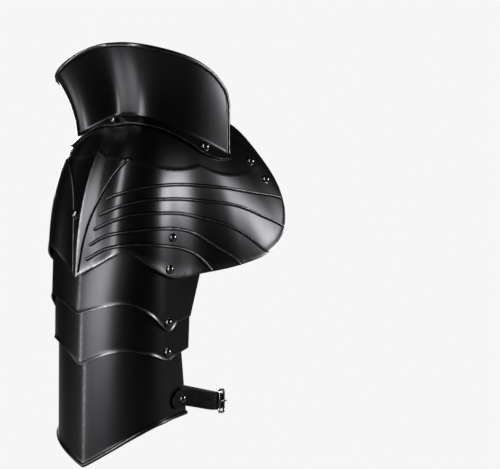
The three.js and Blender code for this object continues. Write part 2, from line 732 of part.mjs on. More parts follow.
// Keeper: a leather loop round the strap near its back tab.
function keeperBody() {
  const inside = new THREE.Path();
  const halfWidth = strapWidth / 2 + keeperPlay;
  const top = strapThickness + keeperPlay;
  const outline = new THREE.Shape();
  outline.moveTo(-keeperPlay - keeperWall, -halfWidth - keeperWall);
  outline.lineTo(top + keeperWall, -halfWidth - keeperWall);
  outline.lineTo(top + keeperWall, halfWidth + keeperWall);
  outline.lineTo(-keeperPlay - keeperWall, halfWidth + keeperWall);
  outline.closePath();
  inside.moveTo(-keeperPlay, -halfWidth);
  inside.lineTo(-keeperPlay, halfWidth);
  inside.lineTo(top, halfWidth);
  inside.lineTo(top, -halfWidth);
  inside.closePath();
  outline.holes.push(inside);
  const loop = new THREE.ExtrudeGeometry(outline, { depth: keeperLength, bevelEnabled: false });
  return loop.translate(0, 0, -keeperLength / 2);
}
function keeperPlaced(s) {
  const { point, out, up } = strapFrame(s);
  const frame = new THREE.Matrix4().makeBasis(out, up, out.clone().cross(up));
  frame.setPosition(point);
  return keeperBody().applyMatrix4(frame);
}

// The plates
function mainPlateSolid() {
  const rows = plateFalls.map((fall) => plateColumns.map((bearing) => platePoint(bearing, fall)));
  let solid = solidOf(sheetBody(rows, plateThickness, { wrap: true, pole: true }));
  const join = (run, width, height) => {
    solid = solid.add(solidOf(beadBody(run.path, run.normals, width, height)));
  };
  for (const { sign } of sides) {
    for (const row of sign > 0 ? flutes : ridgeFlute) join(reliefRun(row, sign, 6), fluteWidth, fluteHeight);
    for (const row of scallops) join(reliefRun(row, sign, 3), fluteWidth * 0.6, fluteHeight * 0.6);
    join(marginRun(sign, marginWidth), fluteWidth * 0.6, fluteHeight * 0.7);
  }
  return solid;
}

const solids = {
  main_plate: mainPlateSolid(),
  neck_guard: collarSolid(),
  lame_1: armPlateSolid(armPlates.lame_1, 3),
  lame_2: armPlateSolid(armPlates.lame_2, 2),
  lower_cannon: armPlateSolid(armPlates.lower_cannon, 4),
  arm_strap: solidOf(strapBand(0, 1, 34, 0, strapWidth)),
};

// The rolled lower edge of the cannon, one bar a side, which meet at the ridge.
for (const { sign } of sides) {
  const points = armStops.slice(0, -1).map((s) => armPoint(cannon, sign * s, armEdge(cannon, sign * s, "foot")));
  points.push(armPoint(cannon, sign * 1.99, armEdge(cannon, sign * 1.99, "foot")));
  const curve = new THREE.CatmullRomCurve3(points, false, "centripetal");
  solids.lower_cannon = solids.lower_cannon.add(solidOf(barAlong(curve, 14, rimRadius, 5)));
}

for (const [node, cuts] of Object.entries(holes))
  for (const [point, normal] of cuts) solids[node] = solids[node].subtract(holeTool(point, normal));

const pauldron = new THREE.Group();
pauldron.position.z = -seatHeight;
function addPiece(name, geometry, material) {
  const mesh = new THREE.Mesh(geometry, material);
  mesh.name = name;
  pauldron.add(mesh);
}
for (const [name, solid] of Object.entries(solids))
  addPiece(name, geometryOf(solid), name === "arm_strap" ? leather() : steel());
for (const { name, point, normal, stack, lift } of rivets)
  addPiece(name, placed(rivetBody(stack, lift), point, normal), rivetSteel());
addPiece("buckle_frame", buckleFrame, brightSteel());
addPiece("buckle_prong", buckleProng, brightSteel());
addPiece("strap_keeper", keeperPlaced(keeperAt), leather());

export default pauldron;
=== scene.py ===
import json
import math
import bpy
import numpy as np
from mathutils import Matrix, Vector

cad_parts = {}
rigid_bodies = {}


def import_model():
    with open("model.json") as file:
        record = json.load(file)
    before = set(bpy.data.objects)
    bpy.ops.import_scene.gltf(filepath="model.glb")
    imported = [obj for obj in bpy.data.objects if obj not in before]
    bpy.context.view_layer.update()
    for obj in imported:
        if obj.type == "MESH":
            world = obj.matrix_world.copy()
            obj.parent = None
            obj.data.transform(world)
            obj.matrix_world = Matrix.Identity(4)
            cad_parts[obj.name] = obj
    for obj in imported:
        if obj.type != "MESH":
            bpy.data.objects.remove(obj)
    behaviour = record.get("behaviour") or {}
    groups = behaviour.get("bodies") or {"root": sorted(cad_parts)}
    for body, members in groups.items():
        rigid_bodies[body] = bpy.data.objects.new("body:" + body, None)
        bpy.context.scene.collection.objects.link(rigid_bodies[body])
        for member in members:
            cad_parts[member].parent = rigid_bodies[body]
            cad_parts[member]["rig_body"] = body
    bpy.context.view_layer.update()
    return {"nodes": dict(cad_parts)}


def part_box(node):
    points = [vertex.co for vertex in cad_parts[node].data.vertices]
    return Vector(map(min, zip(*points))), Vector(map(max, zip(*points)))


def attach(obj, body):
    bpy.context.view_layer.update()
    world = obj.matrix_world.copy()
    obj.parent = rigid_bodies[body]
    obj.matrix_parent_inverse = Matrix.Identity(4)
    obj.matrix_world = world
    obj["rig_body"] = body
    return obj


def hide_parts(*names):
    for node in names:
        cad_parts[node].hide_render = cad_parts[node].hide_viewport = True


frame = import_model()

# Black steel pauldron: smooth sheet, relief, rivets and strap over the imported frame
# All in metres, +Z up, the ridge on -X and the wearer's front on -Y
mm = 0.001
seat = {"height": 134 * mm}                                   # first pivot's depth below the origin
tube = {"halfWidth": 67.9 * mm, "noseShare": 0.692, "fullness": 2.1,
        "crestRise": 3.8 * mm, "crestWidth": 14, "sheetGap": 0.9 * mm, "tuck": 3.2 * mm,
        "thickness": 1.5 * mm, "lip": 0.9 * mm, "lipWidth": 2.2 * mm, "roll": 2.2 * mm,
        "wornEdge": 1.2 * mm}


# small tools

# smooth reading of one column of a table, along its first column; at may be an array
def readTable(rows, at, column):
    keys = np.array([row[0] for row in rows], float)
    values = np.array([row[column] for row in rows], float)
    slopes = np.diff(values) / np.diff(keys)
    tangents = np.concatenate([[slopes[0]], (slopes[:-1] + slopes[1:]) / 2, [slopes[-1]]])
    at = np.clip(np.asarray(at, float), keys[0], keys[-1])
    i = np.clip(np.searchsorted(keys, at, side="right") - 1, 0, len(keys) - 2)
    span = keys[i + 1] - keys[i]
    s = (at - keys[i]) / span
    first = values[i] * (2 * s**3 - 3 * s**2 + 1) + tangents[i] * span * (s**3 - 2 * s**2 + s)
    return first + values[i + 1] * (3 * s**2 - 2 * s**3) + tangents[i + 1] * span * (s**3 - s**2)


def unit(vectors):
    return vectors / np.maximum(np.linalg.norm(vectors, axis=-1, keepdims=True), 1e-12)


def smoothStep(low, high, value):
    s = np.clip((value - low) / (high - low), 0, 1)
    return s * s * (3 - 2 * s)


# values smoothed along their first axis, the ends kept
def softened(values, sigma):
    reach = np.arange(-3 * sigma, 3 * sigma + 1)
    weights = np.exp(-0.5 * (reach / sigma) ** 2)
    weights /= weights.sum()
    flat = values.reshape(len(values), -1)
    before = 2 * flat[0] - flat[3 * sigma : 0 : -1]
    after = 2 * flat[-1] - flat[-2 : -3 * sigma - 2 : -1]
    padded = np.vstack([before, flat, after])
    smooth = np.stack([np.convolve(padded[:, k], weights, "valid") for k in range(flat.shape[1])], axis=1)
    return smooth.reshape(values.shape)


def deselectAll():
    for piece in bpy.context.selected_objects:
        piece.select_set(False)


def pick(piece):
    deselectAll()
    piece.select_set(True)
    bpy.context.view_layer.objects.active = piece


# how worn each point is and where a highlight is painted on it, which the materials read
def setWearAndHighlight(piece, values):
    worn = piece.data.attributes.new("wear", "FLOAT", "POINT")
    worn.data.foreach_set("value", values)


def shadeByAngle(piece, degrees):
    pick(piece)
    bpy.ops.object.shade_smooth_by_angle(angle=math.radians(degrees))


def addBevel(piece, width, segments, degrees=30):
    bevel = piece.modifiers.new("edge", "BEVEL")
    bevel.width, bevel.segments = width, segments
    bevel.limit_method, bevel.angle_limit = "ANGLE", math.radians(degrees)


def addObject(name, data):
    piece = bpy.data.objects.new(name, data)
    bpy.context.scene.collection.objects.link(piece)
    return piece


# edit-mode steps, each over the whole mesh
def editMesh(piece, *steps):
    pick(piece)
    bpy.ops.object.mode_set(mode="EDIT")
    for step in steps:
        bpy.ops.mesh.select_all(action="SELECT")
        step()
    bpy.ops.object.mode_set(mode="OBJECT")


def applyModifiers(piece):
    pick(piece)
    for modifier in list(piece.modifiers):
        bpy.ops.object.modifier_apply(modifier=modifier.name)


def settle(piece):
    pick(piece)
    bpy.ops.object.transform_apply(location=True, rotation=True, scale=True)
    return piece


def joinAll(pieces, name):
    deselectAll()
    for piece in pieces:
        piece.select_set(True)
    bpy.context.view_layer.objects.active = pieces[0]
    if len(pieces) > 1:
        bpy.ops.object.join()
    pieces[0].name = name
    return settle(pieces[0])


def finish(piece, body, material, nodes):
    piece.data.materials.clear()
    piece.data.materials.append(material)
    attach(piece, body)
    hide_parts(*nodes)
    return piece


# a sheet: a grid primitive whose points are laid on a surface, then given its wall
def gridPiece(name, points, wear, thickness, outside, closeRing=False, sharpColumn=None,
              edgeRound=0.35 * mm):
    rows, columns = points.shape[:2]
    deselectAll()
    bpy.ops.mesh.primitive_grid_add(x_subdivisions=columns - 1, y_subdivisions=rows - 1, size=1)
    piece = bpy.context.object
    piece.name = name
    mesh = piece.data
    co = np.zeros(len(mesh.vertices) * 3)
    mesh.vertices.foreach_get("co", co)
    co = co.reshape(-1, 3)
    column = np.rint((co[:, 0] + 0.5) * (columns - 1)).astype(int)
    row = np.rint((co[:, 1] + 0.5) * (rows - 1)).astype(int)
    mesh.vertices.foreach_set("co", points[row, column].ravel())
    setWearAndHighlight(piece, wear[row, column].astype(np.float32))
    if sharpColumn is not None:
        for edge in mesh.edges:
            a, b = edge.vertices
            edge.use_edge_sharp = column[a] == sharpColumn and column[b] == sharpColumn
    if closeRing:
        editMesh(piece, lambda: bpy.ops.mesh.remove_doubles(threshold=0.02 * mm))
    if thickness:
        turnOutwards(piece, outside)
        solid = piece.modifiers.new("wall", "SOLIDIFY")
        solid.thickness = thickness
        solid.offset = -1
        solid.use_even_offset = False
        addBevel(piece, edgeRound, 2, 60)
    applyModifiers(piece)
    mesh = piece.data
    mesh.polygons.foreach_set("use_smooth", [True] * len(mesh.polygons))
    return piece


# flips an open sheet whose faces look away from the side given by outside(centre)
def turnOutwards(piece, outside):
    mesh = piece.data
    votes = 0
    for i in range(0, len(mesh.polygons), max(1, len(mesh.polygons) // 400)):
        face = mesh.polygons[i]
        votes += 1 if face.normal.dot(outside(face.center)) > 0 else -1
    if votes < 0:
        mesh.flip_normals()


# a round bar along points, made as a curve and kept as a mesh
def tubeAlong(name, points, radius, closed=False, resolution=4):
    curve = bpy.data.curves.new(name, "CURVE")
    curve.dimensions = "3D"
    curve.bevel_depth = radius
    curve.bevel_resolution = resolution
    curve.use_fill_caps = not closed
    spline = curve.splines.new("POLY")
    spline.points.add(len(points) - 1)
    for place, point in zip(spline.points, points):
        place.co = (*point, 1)
    spline.use_cyclic_u = closed
    pick(addObject(name, curve))
    bpy.ops.object.convert(target="MESH")
    piece = bpy.context.object
    shadeByAngle(piece, 50)
    setWearAndHighlight(piece, [0.35] * len(piece.data.vertices))
    return piece


# count points spread evenly along a smooth line that runs through points
def smoothLine(points, count):
    points = np.asarray(points, float)
    ends = np.vstack([2 * points[0] - points[1], points, 2 * points[-1] - points[-2]])
    line = []
    for i in range(1, len(ends) - 2):
        for s in np.linspace(0, 1, 24, endpoint=False):
            a, b, c, d = ends[i - 1 : i + 3]
            line.append(0.5 * (2 * b + (c - a) * s + (2 * a - 5 * b + 4 * c - d) * s**2
                               + (3 * b - a - 3 * c + d) * s**3))
    line.append(points[-1])
    line = np.array(line)
    run = np.concatenate([[0], np.cumsum(np.linalg.norm(np.diff(line, axis=0), axis=1))])
    even = np.linspace(0, run[-1], count)
    return np.stack([np.interp(even, run, line[:, k]) for k in range(3)], axis=1)


# materials

def setInputs(node, values):
    for label, value in values.items():
        node.inputs[label].default_value = value


def noiseNode(nodes, values):
    node = nodes.new("ShaderNodeTexNoise")
    setInputs(node, values)
    return node


def newGroup(name, inputs, outputs):
    group = bpy.data.node_groups.new(name, "ShaderNodeTree")
    for label, kind, value in inputs:
        group.interface.new_socket(label, in_out="INPUT", socket_type=kind).default_value = value
    for label, kind in outputs:
        group.interface.new_socket(label, in_out="OUTPUT", socket_type=kind)
    return group, group.nodes.new("NodeGroupInput"), group.nodes.new("NodeGroupOutput")


# fine drawn streaks that run up and down the sheet, and soft blotches under them
def streakGroup():
    group, start, end = newGroup(
        "drawnStreaks",
        [("Streak Scale", "NodeSocketFloat", 60.0), ("Stretch", "NodeSocketFloat", 0.03),
         ("Cloud Scale", "NodeSocketFloat", 14.0)],
        [("Streaks", "NodeSocketFloat"), ("Clouds", "NodeSocketFloat")])
    nodes, links = group.nodes, group.links
    place = nodes.new("ShaderNodeTexCoord")
    parts = nodes.new("ShaderNodeSeparateXYZ")
    squeeze = nodes.new("ShaderNodeMath")
    squeeze.operation = "MULTIPLY"
    whole = nodes.new("ShaderNodeCombineXYZ")
    streak = noiseNode(nodes, {"Detail": 4})
    cloud = noiseNode(nodes, {"Detail": 3})
    links.new(place.outputs["Object"], parts.inputs[0])
    links.new(parts.outputs["X"], whole.inputs["X"])
    links.new(parts.outputs["Y"], whole.inputs["Y"])
    links.new(parts.outputs["Z"], squeeze.inputs[0])
    links.new(start.outputs["Stretch"], squeeze.inputs[1])
    links.new(squeeze.outputs[0], whole.inputs["Z"])
    links.new(whole.outputs[0], streak.inputs["Vector"])
    links.new(start.outputs["Streak Scale"], streak.inputs["Scale"])
    links.new(place.outputs["Object"], cloud.inputs["Vector"])
    links.new(start.outputs["Cloud Scale"], cloud.inputs["Scale"])
    links.new(streak.outputs["Fac"], end.inputs["Streaks"])
    links.new(cloud.outputs["Fac"], end.inputs["Clouds"])
    return group


# wear and painted highlights from the piece's own attribute, broken up by noise
def wearAndHighlightGroup():
    group, start, end = newGroup(
        "edgeWear",
        [("Amount", "NodeSocketFloat", 1.0), ("Scale", "NodeSocketFloat", 220.0)],
        [("Worn", "NodeSocketFloat")])
    nodes, links = group.nodes, group.links
    place = nodes.new("ShaderNodeTexCoord")
    worn = nodes.new("ShaderNodeAttribute")
    worn.attribute_name = "wear"
    noise = noiseNode(nodes, {"Detail": 5})
    rough = nodes.new("ShaderNodeMapRange")
    setInputs(rough, {"From Min": 0.35, "From Max": 0.7, "To Min": 0.25})
    product = nodes.new("ShaderNodeMath")
    product.operation = "MULTIPLY"
    amount = nodes.new("ShaderNodeMath")
    amount.operation = "MULTIPLY"
    amount.use_clamp = True
    links.new(place.outputs["Object"], noise.inputs["Vector"])
    links.new(start.outputs["Scale"], noise.inputs["Scale"])
    links.new(noise.outputs["Fac"], rough.inputs["Value"])
    links.new(worn.outputs["Fac"], product.inputs[0])
    links.new(rough.outputs["Result"], product.inputs[1])
    links.new(product.outputs[0], amount.inputs[0])
    links.new(start.outputs["Amount"], amount.inputs[1])
    links.new(amount.outputs[0], end.inputs["Worn"])
    return group


def mixColours(nodes, links, mask, first, second):
    mix = nodes.new("ShaderNodeMix")
    mix.data_type = "RGBA"
    links.new(mask, mix.inputs["Factor"])
    for socket, colour in ((mix.inputs[6], first), (mix.inputs[7], second)):
        if isinstance(colour, tuple):
            socket.default_value = (*colour, 1)
        else:
            links.new(colour, socket)
    return mix.outputs[2]


def ramp(nodes, links, value, low, high):
    mapped = nodes.new("ShaderNodeMapRange")
    # a noise keeps to about 0.3 to 0.7
    setInputs(mapped, {"From Min": 0.3, "From Max": 0.7, "To Min": low, "To Max": high})
    links.new(value, mapped.inputs["Value"])
    return mapped.outputs["Result"]


def newMaterial(name):
    material = bpy.data.materials.new(name)
    material.use_nodes = True
    nodes, links = material.node_tree.nodes, material.node_tree.links
    return material, nodes, links, nodes["Principled BSDF"]


def useGroup(nodes, group, values):
    node = nodes.new("ShaderNodeGroup")
    node.node_tree = group
    setInputs(node, values)
    return node


def addBump(nodes, links, shader, height, strength, depth):
    bump = nodes.new("ShaderNodeBump")
    setInputs(bump, {"Strength": strength, "Distance": depth})
    links.new(height, bump.inputs["Height"])
    links.new(bump.outputs["Normal"], shader.inputs["Normal"])


streaks = streakGroup()
edgeWear = wearAndHighlightGroup()

# the steel's lighter worn colour paints both rubbed edges and the painted highlight lines on ribs, panel
# border and ridge crease
blackSteel = {"dark": (0.03, 0.03, 0.032), "light": (0.042, 0.042, 0.045), "worn": (0.3, 0.3, 0.31),
              "roughLow": 0.275, "roughHigh": 0.3, "streakScale": 200.0, "stretch": 0.08,
              "cloudScale": 12.0, "bump": 0.0015, "wear": 0.6}
# the rivets are the same black steel as the sheet; their brighter base colour is a painted highlight that
# makes their domes shine brighter
rivetSteel = {"dark": (0.09, 0.09, 0.095), "light": (0.12, 0.12, 0.125), "worn": (0.3, 0.3, 0.31),
              "roughLow": 0.12, "roughHigh": 0.2, "streakScale": 500.0, "stretch": 1.0,
              "cloudScale": 60.0, "bump": 0.03, "wear": 0.3}
nickelWire = {"dark": (0.62, 0.62, 0.64), "light": (0.8, 0.8, 0.82), "worn": (0.5, 0.49, 0.47),
              "roughLow": 0.12, "roughHigh": 0.24, "streakScale": 700.0, "stretch": 1.0,
              "cloudScale": 180.0, "bump": 0.05, "wear": 0.25}
blackLeather = {"dark": (0.002, 0.002, 0.002), "light": (0.006, 0.0055, 0.005),
                "edge": (0.025, 0.021, 0.017), "edgeWear": 0.8, "rough": 0.48, "shine": 0.12,
                "grainScale": 900.0, "creaseScale": 160.0, "bump": 0.35}


def metalMaterial(name, look):
    material, nodes, links, shader = newMaterial(name)
    shader.inputs["Metallic"].default_value = 1.0
    drawn = useGroup(nodes, streaks, {"Streak Scale": look["streakScale"], "Stretch": look["stretch"],
                                      "Cloud Scale": look["cloudScale"]})
    worn = useGroup(nodes, edgeWear, {"Amount": look["wear"]})
    base = mixColours(nodes, links, drawn.outputs["Clouds"], look["dark"], look["light"])
    colour = mixColours(nodes, links, worn.outputs["Worn"], base, look["worn"])
    links.new(colour, shader.inputs["Base Color"])
    links.new(ramp(nodes, links, drawn.outputs["Streaks"], look["roughLow"], look["roughHigh"]),
              shader.inputs["Roughness"])
    addBump(nodes, links, shader, drawn.outputs["Streaks"], look["bump"], 0.3 * mm)
    return material


def leatherMaterial(name, look):
    material, nodes, links, shader = newMaterial(name)
    shader.inputs["Specular IOR Level"].default_value = look["shine"]
    place = nodes.new("ShaderNodeTexCoord")
    grain = nodes.new("ShaderNodeTexVoronoi")
    grain.feature = "F1"
    grain.inputs["Scale"].default_value = look["grainScale"]
    crease = noiseNode(nodes, {"Scale": look["creaseScale"], "Detail": 6})
    links.new(place.outputs["Object"], grain.inputs["Vector"])
    links.new(place.outputs["Object"], crease.inputs["Vector"])
    worn = useGroup(nodes, edgeWear, {"Amount": look["edgeWear"]})
    base = mixColours(nodes, links, crease.outputs["Fac"], look["dark"], look["light"])
    colour = mixColours(nodes, links, worn.outputs["Worn"], base, look["edge"])
    links.new(colour, shader.inputs["Base Color"])
    links.new(ramp(nodes, links, crease.outputs["Fac"], look["rough"] - 0.1, look["rough"] + 0.12),
              shader.inputs["Roughness"])
    height = nodes.new("ShaderNodeMath")
    height.operation = "MULTIPLY_ADD"
    links.new(grain.outputs["Distance"], height.inputs[0])
    height.inputs[1].default_value = 0.6
    links.new(crease.outputs["Fac"], height.inputs[2])
    addBump(nodes, links, shader, height.outputs[0], look["bump"], 0.25 * mm)
    return material


steelSheet = metalMaterial("blackSteelSheet", blackSteel)
steelRivet = metalMaterial("blackRivet", rivetSteel)
wireMetal = metalMaterial("brightWire", nickelWire)
strapLeather = leatherMaterial("blackStrapLeather", blackLeather)
print("materials ready")


# shoulder plate

plate = {
    "reach": tube["halfWidth"] * 2.209, "drop": 100 * mm, "crownReach": tube["halfWidth"] * 0.898,
    "crownHeight": 161 * mm,
    # bearing from the ridge (0) by the front to the neck side (180): edge reach and height,
    # then the two handles of the meridian, out and down
    "meridians": [
        (0, 0.778, -0.04, 0.5, 0.02, 0.94, 0.4), (12, 0.748, 0.1, 0.52, 0.02, 0.94, 0.4),
        (21.5, 0.747, 0.2, 0.56, 0.02, 0.94, 0.38), (30, 0.728, 0.18, 0.6, 0.02, 0.94, 0.36),
        (37, 0.712, 0.06, 0.65, 0.02, 0.95, 0.34), (46.5, 0.649, -0.08, 0.72, 0.02, 0.97, 0.32),
        (53, 0.59, -0.115, 0.76, 0.02, 0.98, 0.3), (65, 0.54, -0.13, 0.8, 0.02, 0.99, 0.28),
        (82, 0.552, -0.12, 0.8, 0.02, 0.96, 0.28), (103, 0.725, -0.08, 0.7, 0.02, 0.84, 0.36),
        (117, 0.915, 0.02, 0.58, 0.02, 0.76, 0.42), (126, 1.027, 0.2, 0.52, 0.02, 0.76, 0.46),
        (131, 1.055, 0.46, 0.5, 0.02, 0.78, 0.5), (134, 1.015, 0.71, 0.48, 0.02, 0.8, 0.5),
        (137, 0.939, 0.92, 0.46, 0.02, 0.8, 0.5), (141.5, 0.76, 1.29, 0.42, 0.02, 0.78, 0.5),
        (150, 0.561, 1.48, 0.4, 0.1, 0.75, 0.55), (165, 0.427, 1.65, 0.35, 0.3, 0.7, 0.65),
        (180, 0.38, 1.7, 0.33, 0.33, 0.67, 0.67),
    ],
    # flutes: bearing and height (share of drop) of the points that each one runs through, the
    # one beside the ridge first
    "flutes": [
        [(25.2, 1.1), (15.2, 0.907), (7.3, 0.64), (3.4, 0.381), (1.5, 0.12), (0.9, 0.0)],
        [(13.1, 0.708), (21.9, 0.774), (36.8, 0.832), (64.4, 0.821),
         (99.9, 0.751), (124.8, 0.626), (132, 0.555)],
        [(9.4, 0.557), (24.6, 0.669), (41.9, 0.706), (82.6, 0.634),
         (107.2, 0.543), (121.5, 0.362), (126.8, 0.25)],
        [(7.3, 0.419), (20.1, 0.528), (34, 0.58), (62.2, 0.529),
         (92.3, 0.402), (106.4, 0.254), (115.8, 0.01)],
        [(5.5, 0.271), (17.9, 0.387), (38.7, 0.425), (61.4, 0.369),
         (79.6, 0.262), (97.2, 0.045), (102.4, -0.08)],
        [(4.1, 0.127), (15.6, 0.247), (29.2, 0.29), (42.1, 0.258),
         (65.8, 0.149), (78.9, 0.032), (86.5, -0.11)],
    ],
    "fluteWidth": 2.2 * mm, "fluteHeight": 2.3 * mm, "firstFluteWidth": 1.7 * mm,
    # scallops of the raised panel's upper edge: bearing and height where each one starts, its
    # height in the middle, bearing and height where it ends
    "scallops": [
        (0, 1.17, 1.1, 25.5, 1.11), (25.5, 1.11, 0.985, 85.6, 0.999), (85.6, 0.999, 0.872, 136, 0.925),
    ],
    "panelRise": 0.6 * mm, "panelSlope": 2.6 * mm, "crestRise": 2.8 * mm, "crestWidth": 17 * mm,
    "lip": 0.8 * mm, "lipWidth": 2.4 * mm, "swell": 0.4 * mm, "swellFade": 14 * mm,
    "lean": 1.2 * mm, "leanFade": 17 * mm, "panelEnd": 131, "leanEnd": 128, "endFade": 12,
    "beadInset": 12.65 * mm, "beadWidth": 2.2 * mm, "beadHeight": 1 * mm, "beadFrom": 143,
    "wornEdge": 1.3 * mm,
}


# one column of the meridians, evened out, more so over front and back where light runs along them
def smoothTable(rows, column):
    keys = np.arange(0, 180.01, 0.5)
    values = readTable(rows, keys, column)
    wide, narrow = softened(values[:, None], 13)[:, 0], softened(values[:, None], 3)[:, 0]
    share = smoothStep(26, 38, keys) * (1 - smoothStep(98, 112, keys))
    return narrow + (wide - narrow) * share


def meridianAt(bearing):
    keys = np.arange(0, 180.01, 0.5)
    return [np.interp(np.abs(bearing), keys, column) for column in plate["columns"]]


plate["columns"] = [smoothTable(plate["meridians"], k) for k in range(1, 7)]


# points on the outer face: fall is 0 at the crown and 1 at the edge
def platePoint(bearing, fall):
    reach, rise, shoulder, lift, hip, hang = meridianAt(bearing)
    reach, edge = reach * plate["reach"], rise * plate["drop"]
    near = 3 * (1 - fall) ** 2 * fall
    far = 3 * (1 - fall) * fall**2
    out = reach * (near * shoulder + far * hip + fall**3)
    level = plate["crownHeight"] + (edge - plate["crownHeight"]) * (near * lift + far * hang + fall**3)
    turn = np.radians(bearing)
    return np.stack([plate["crownReach"] - out * np.cos(turn), -out * np.sin(turn),
                     level - seat["height"]], axis=-1)


def plateNormal(bearing, fall):
    bearing, fall = np.asarray(bearing, float), np.clip(np.asarray(fall, float), 0.05, 1)
    side = np.where(bearing < 0, -1.0, 1.0)
    here = platePoint(bearing, fall)
    around = platePoint(bearing + side * 0.5, fall) - here
    down = platePoint(bearing, np.minimum(fall + 0.01, 1.02)) - here
    return unit(np.cross(around, down) * -side[..., None])


def fallAtHeight(bearing, height):
    bearing = np.asarray(bearing, float)
    low, high = np.full(bearing.shape, 0.02), np.ones(bearing.shape)
    for _ in range(24):
        middle = (low + high) / 2
        above = platePoint(bearing, middle)[..., 2] + seat["height"] > height
        low, high = np.where(above, middle, low), np.where(above, high, middle)
    return (low + high) / 2


def plateOver(x, y):
    bearing = math.degrees(math.atan2(-y, plate["crownReach"] - x))
    wanted = math.hypot(plate["crownReach"] - x, y)
    falls = np.linspace(0, 1, 800)
    line = platePoint(np.full(800, bearing), falls)
    reach = np.hypot(plate["crownReach"] - line[:, 0], line[:, 1])
    return bearing, float(falls[np.argmin(np.abs(reach - wanted))])


# a line on the plate through places given as (bearing, share of drop)
def onPlateLine(places, count):
    run = np.linspace(0, 1, count)
    keys = np.linspace(0, 1, len(places))
    rows = [(k, b, h) for k, (b, h) in zip(keys, places)]
    bearing, height = readTable(rows, run, 1), readTable(rows, run, 2) * plate["drop"]
    return bearing, height


def borderHeight(bearing):
    bearing = np.abs(bearing)
    height = np.full(np.shape(bearing), plate["scallops"][-1][-1])
    for start, first, middle, end, last in plate["scallops"]:
        s = (bearing - start) / (end - start)
        arc = first * (2 * s - 1) * (s - 1) + middle * 4 * s * (1 - s) + last * s * (2 * s - 1)
        height = np.where((bearing >= start) & (bearing <= end), arc, height)
    return height * plate["drop"]


def panelShare(bearing, level):
    side = smoothStep(0, plate["endFade"], plate["panelEnd"] - np.abs(bearing))
    first = plate["flutes"][0][::-1]
    ridgeFlute = np.interp(level / plate["drop"], [p[1] for p in first], [p[0] for p in first])
    side = np.where(bearing < 0, side * smoothStep(-0.9, 0.9, -bearing - ridgeFlute), side)
    slope = plate["panelSlope"] / 2
    return side * smoothStep(-slope, slope, borderHeight(bearing) - level)


# height of the raised panel, the ridge's crest and the edge's lip above the plain sheet
def plateRelief(bearing, fall, level):
    reach = meridianAt(bearing)[0] * plate["reach"]
    away = np.abs(np.radians(bearing)) * reach
    crest = np.clip(1 - away / plate["crestWidth"], 0, 1) ** 1.4 * smoothStep(0.05, 0.95, fall)
    lip = np.exp(-(((1 - fall) * reach / plate["lipWidth"]) ** 2)) * plate["lip"]
    below = borderHeight(bearing) - level
    swell = plate["swell"] * np.exp(-np.maximum(below, 0) / plate["swellFade"])
    lean = plate["lean"] * (1 - np.exp(np.minimum(below, 0) / plate["leanFade"]))
    lean = lean * smoothStep(0, plate["endFade"], plate["leanEnd"] - np.abs(bearing))
    lean = lean * smoothStep(-6, 0, bearing) * smoothStep(0.12, 0.45, fall)   # on the front half alone
    panel = (plate["panelRise"] + swell) * panelShare(bearing, level)
    return panel - lean + plate["crestRise"] * crest + lip


def plateSurface(bearing, fall):
    points = platePoint(bearing, fall)
    relief = plateRelief(bearing, fall, points[..., 2] + seat["height"])
    return points + plateNormal(bearing, fall) * relief[..., None]


# a raised rib: a grid swept along a line of the sheet, closed below and round at its ends
def ribPiece(name, line, normals, halfWidth, height, endTaper=(True, True)):
    run = np.concatenate([[0], np.cumsum(np.linalg.norm(np.diff(line, axis=0), axis=1))])
    along = unit(np.gradient(line, axis=0))
    side = np.cross(normals, along)
    near = run if endTaper[0] else np.full(len(run), 1.0)
    far = run[-1] - run if endTaper[1] else np.full(len(run), 1.0)
    end = np.clip(np.minimum(near, far) / (halfWidth * 1.3), 0, 1)
    size = np.sqrt(np.maximum(1 - (1 - end) ** 2, 0))
    across = np.linspace(-1, 1, 11)
    profile = [(w, 0.5 + 0.5 * math.cos(math.pi * w)) for w in across]
    profile += [(0.85, -0.45), (-0.85, -0.45), (-1, 0)]       # buried foot of the rib
    points = np.array([line + side * (halfWidth * w * size)[:, None]
                       + normals * (height * h * size - 0.1 * mm)[:, None] for w, h in profile])
    # the rib's crest is painted lighter: a painted highlight along its top
    wear = np.array([[max(h, 0) ** 3 * 0.8] * len(run) for w, h in profile])
    rib = gridPiece(name, points, wear, 0, None, closeRing=True)
    editMesh(rib, lambda: bpy.ops.mesh.normals_make_consistent(inside=False))
    return rib


# a rib along places of the plate given as (bearing, share of drop)
def plateRib(name, places, side, halfWidth, height, endTaper=(True, True)):
    bearing, level = onPlateLine(places, 110)
    bearing = side * bearing
    fall = fallAtHeight(bearing, level)
    line = plateSurface(bearing, fall)
    return ribPiece(name, line, plateNormal(bearing, fall), halfWidth, height, endTaper)


# the raised strip that runs inside the neck edge
def plateBead(name, side):
    bearing = side * np.linspace(plate["beadFrom"], 180, 90)
    reach = meridianAt(bearing)[0] * plate["reach"]
    fall = 1 - plate["beadInset"] / reach
    return ribPiece(name, plateSurface(bearing, fall), plateNormal(bearing, fall),
                    plate["beadWidth"], plate["beadHeight"], (True, False))


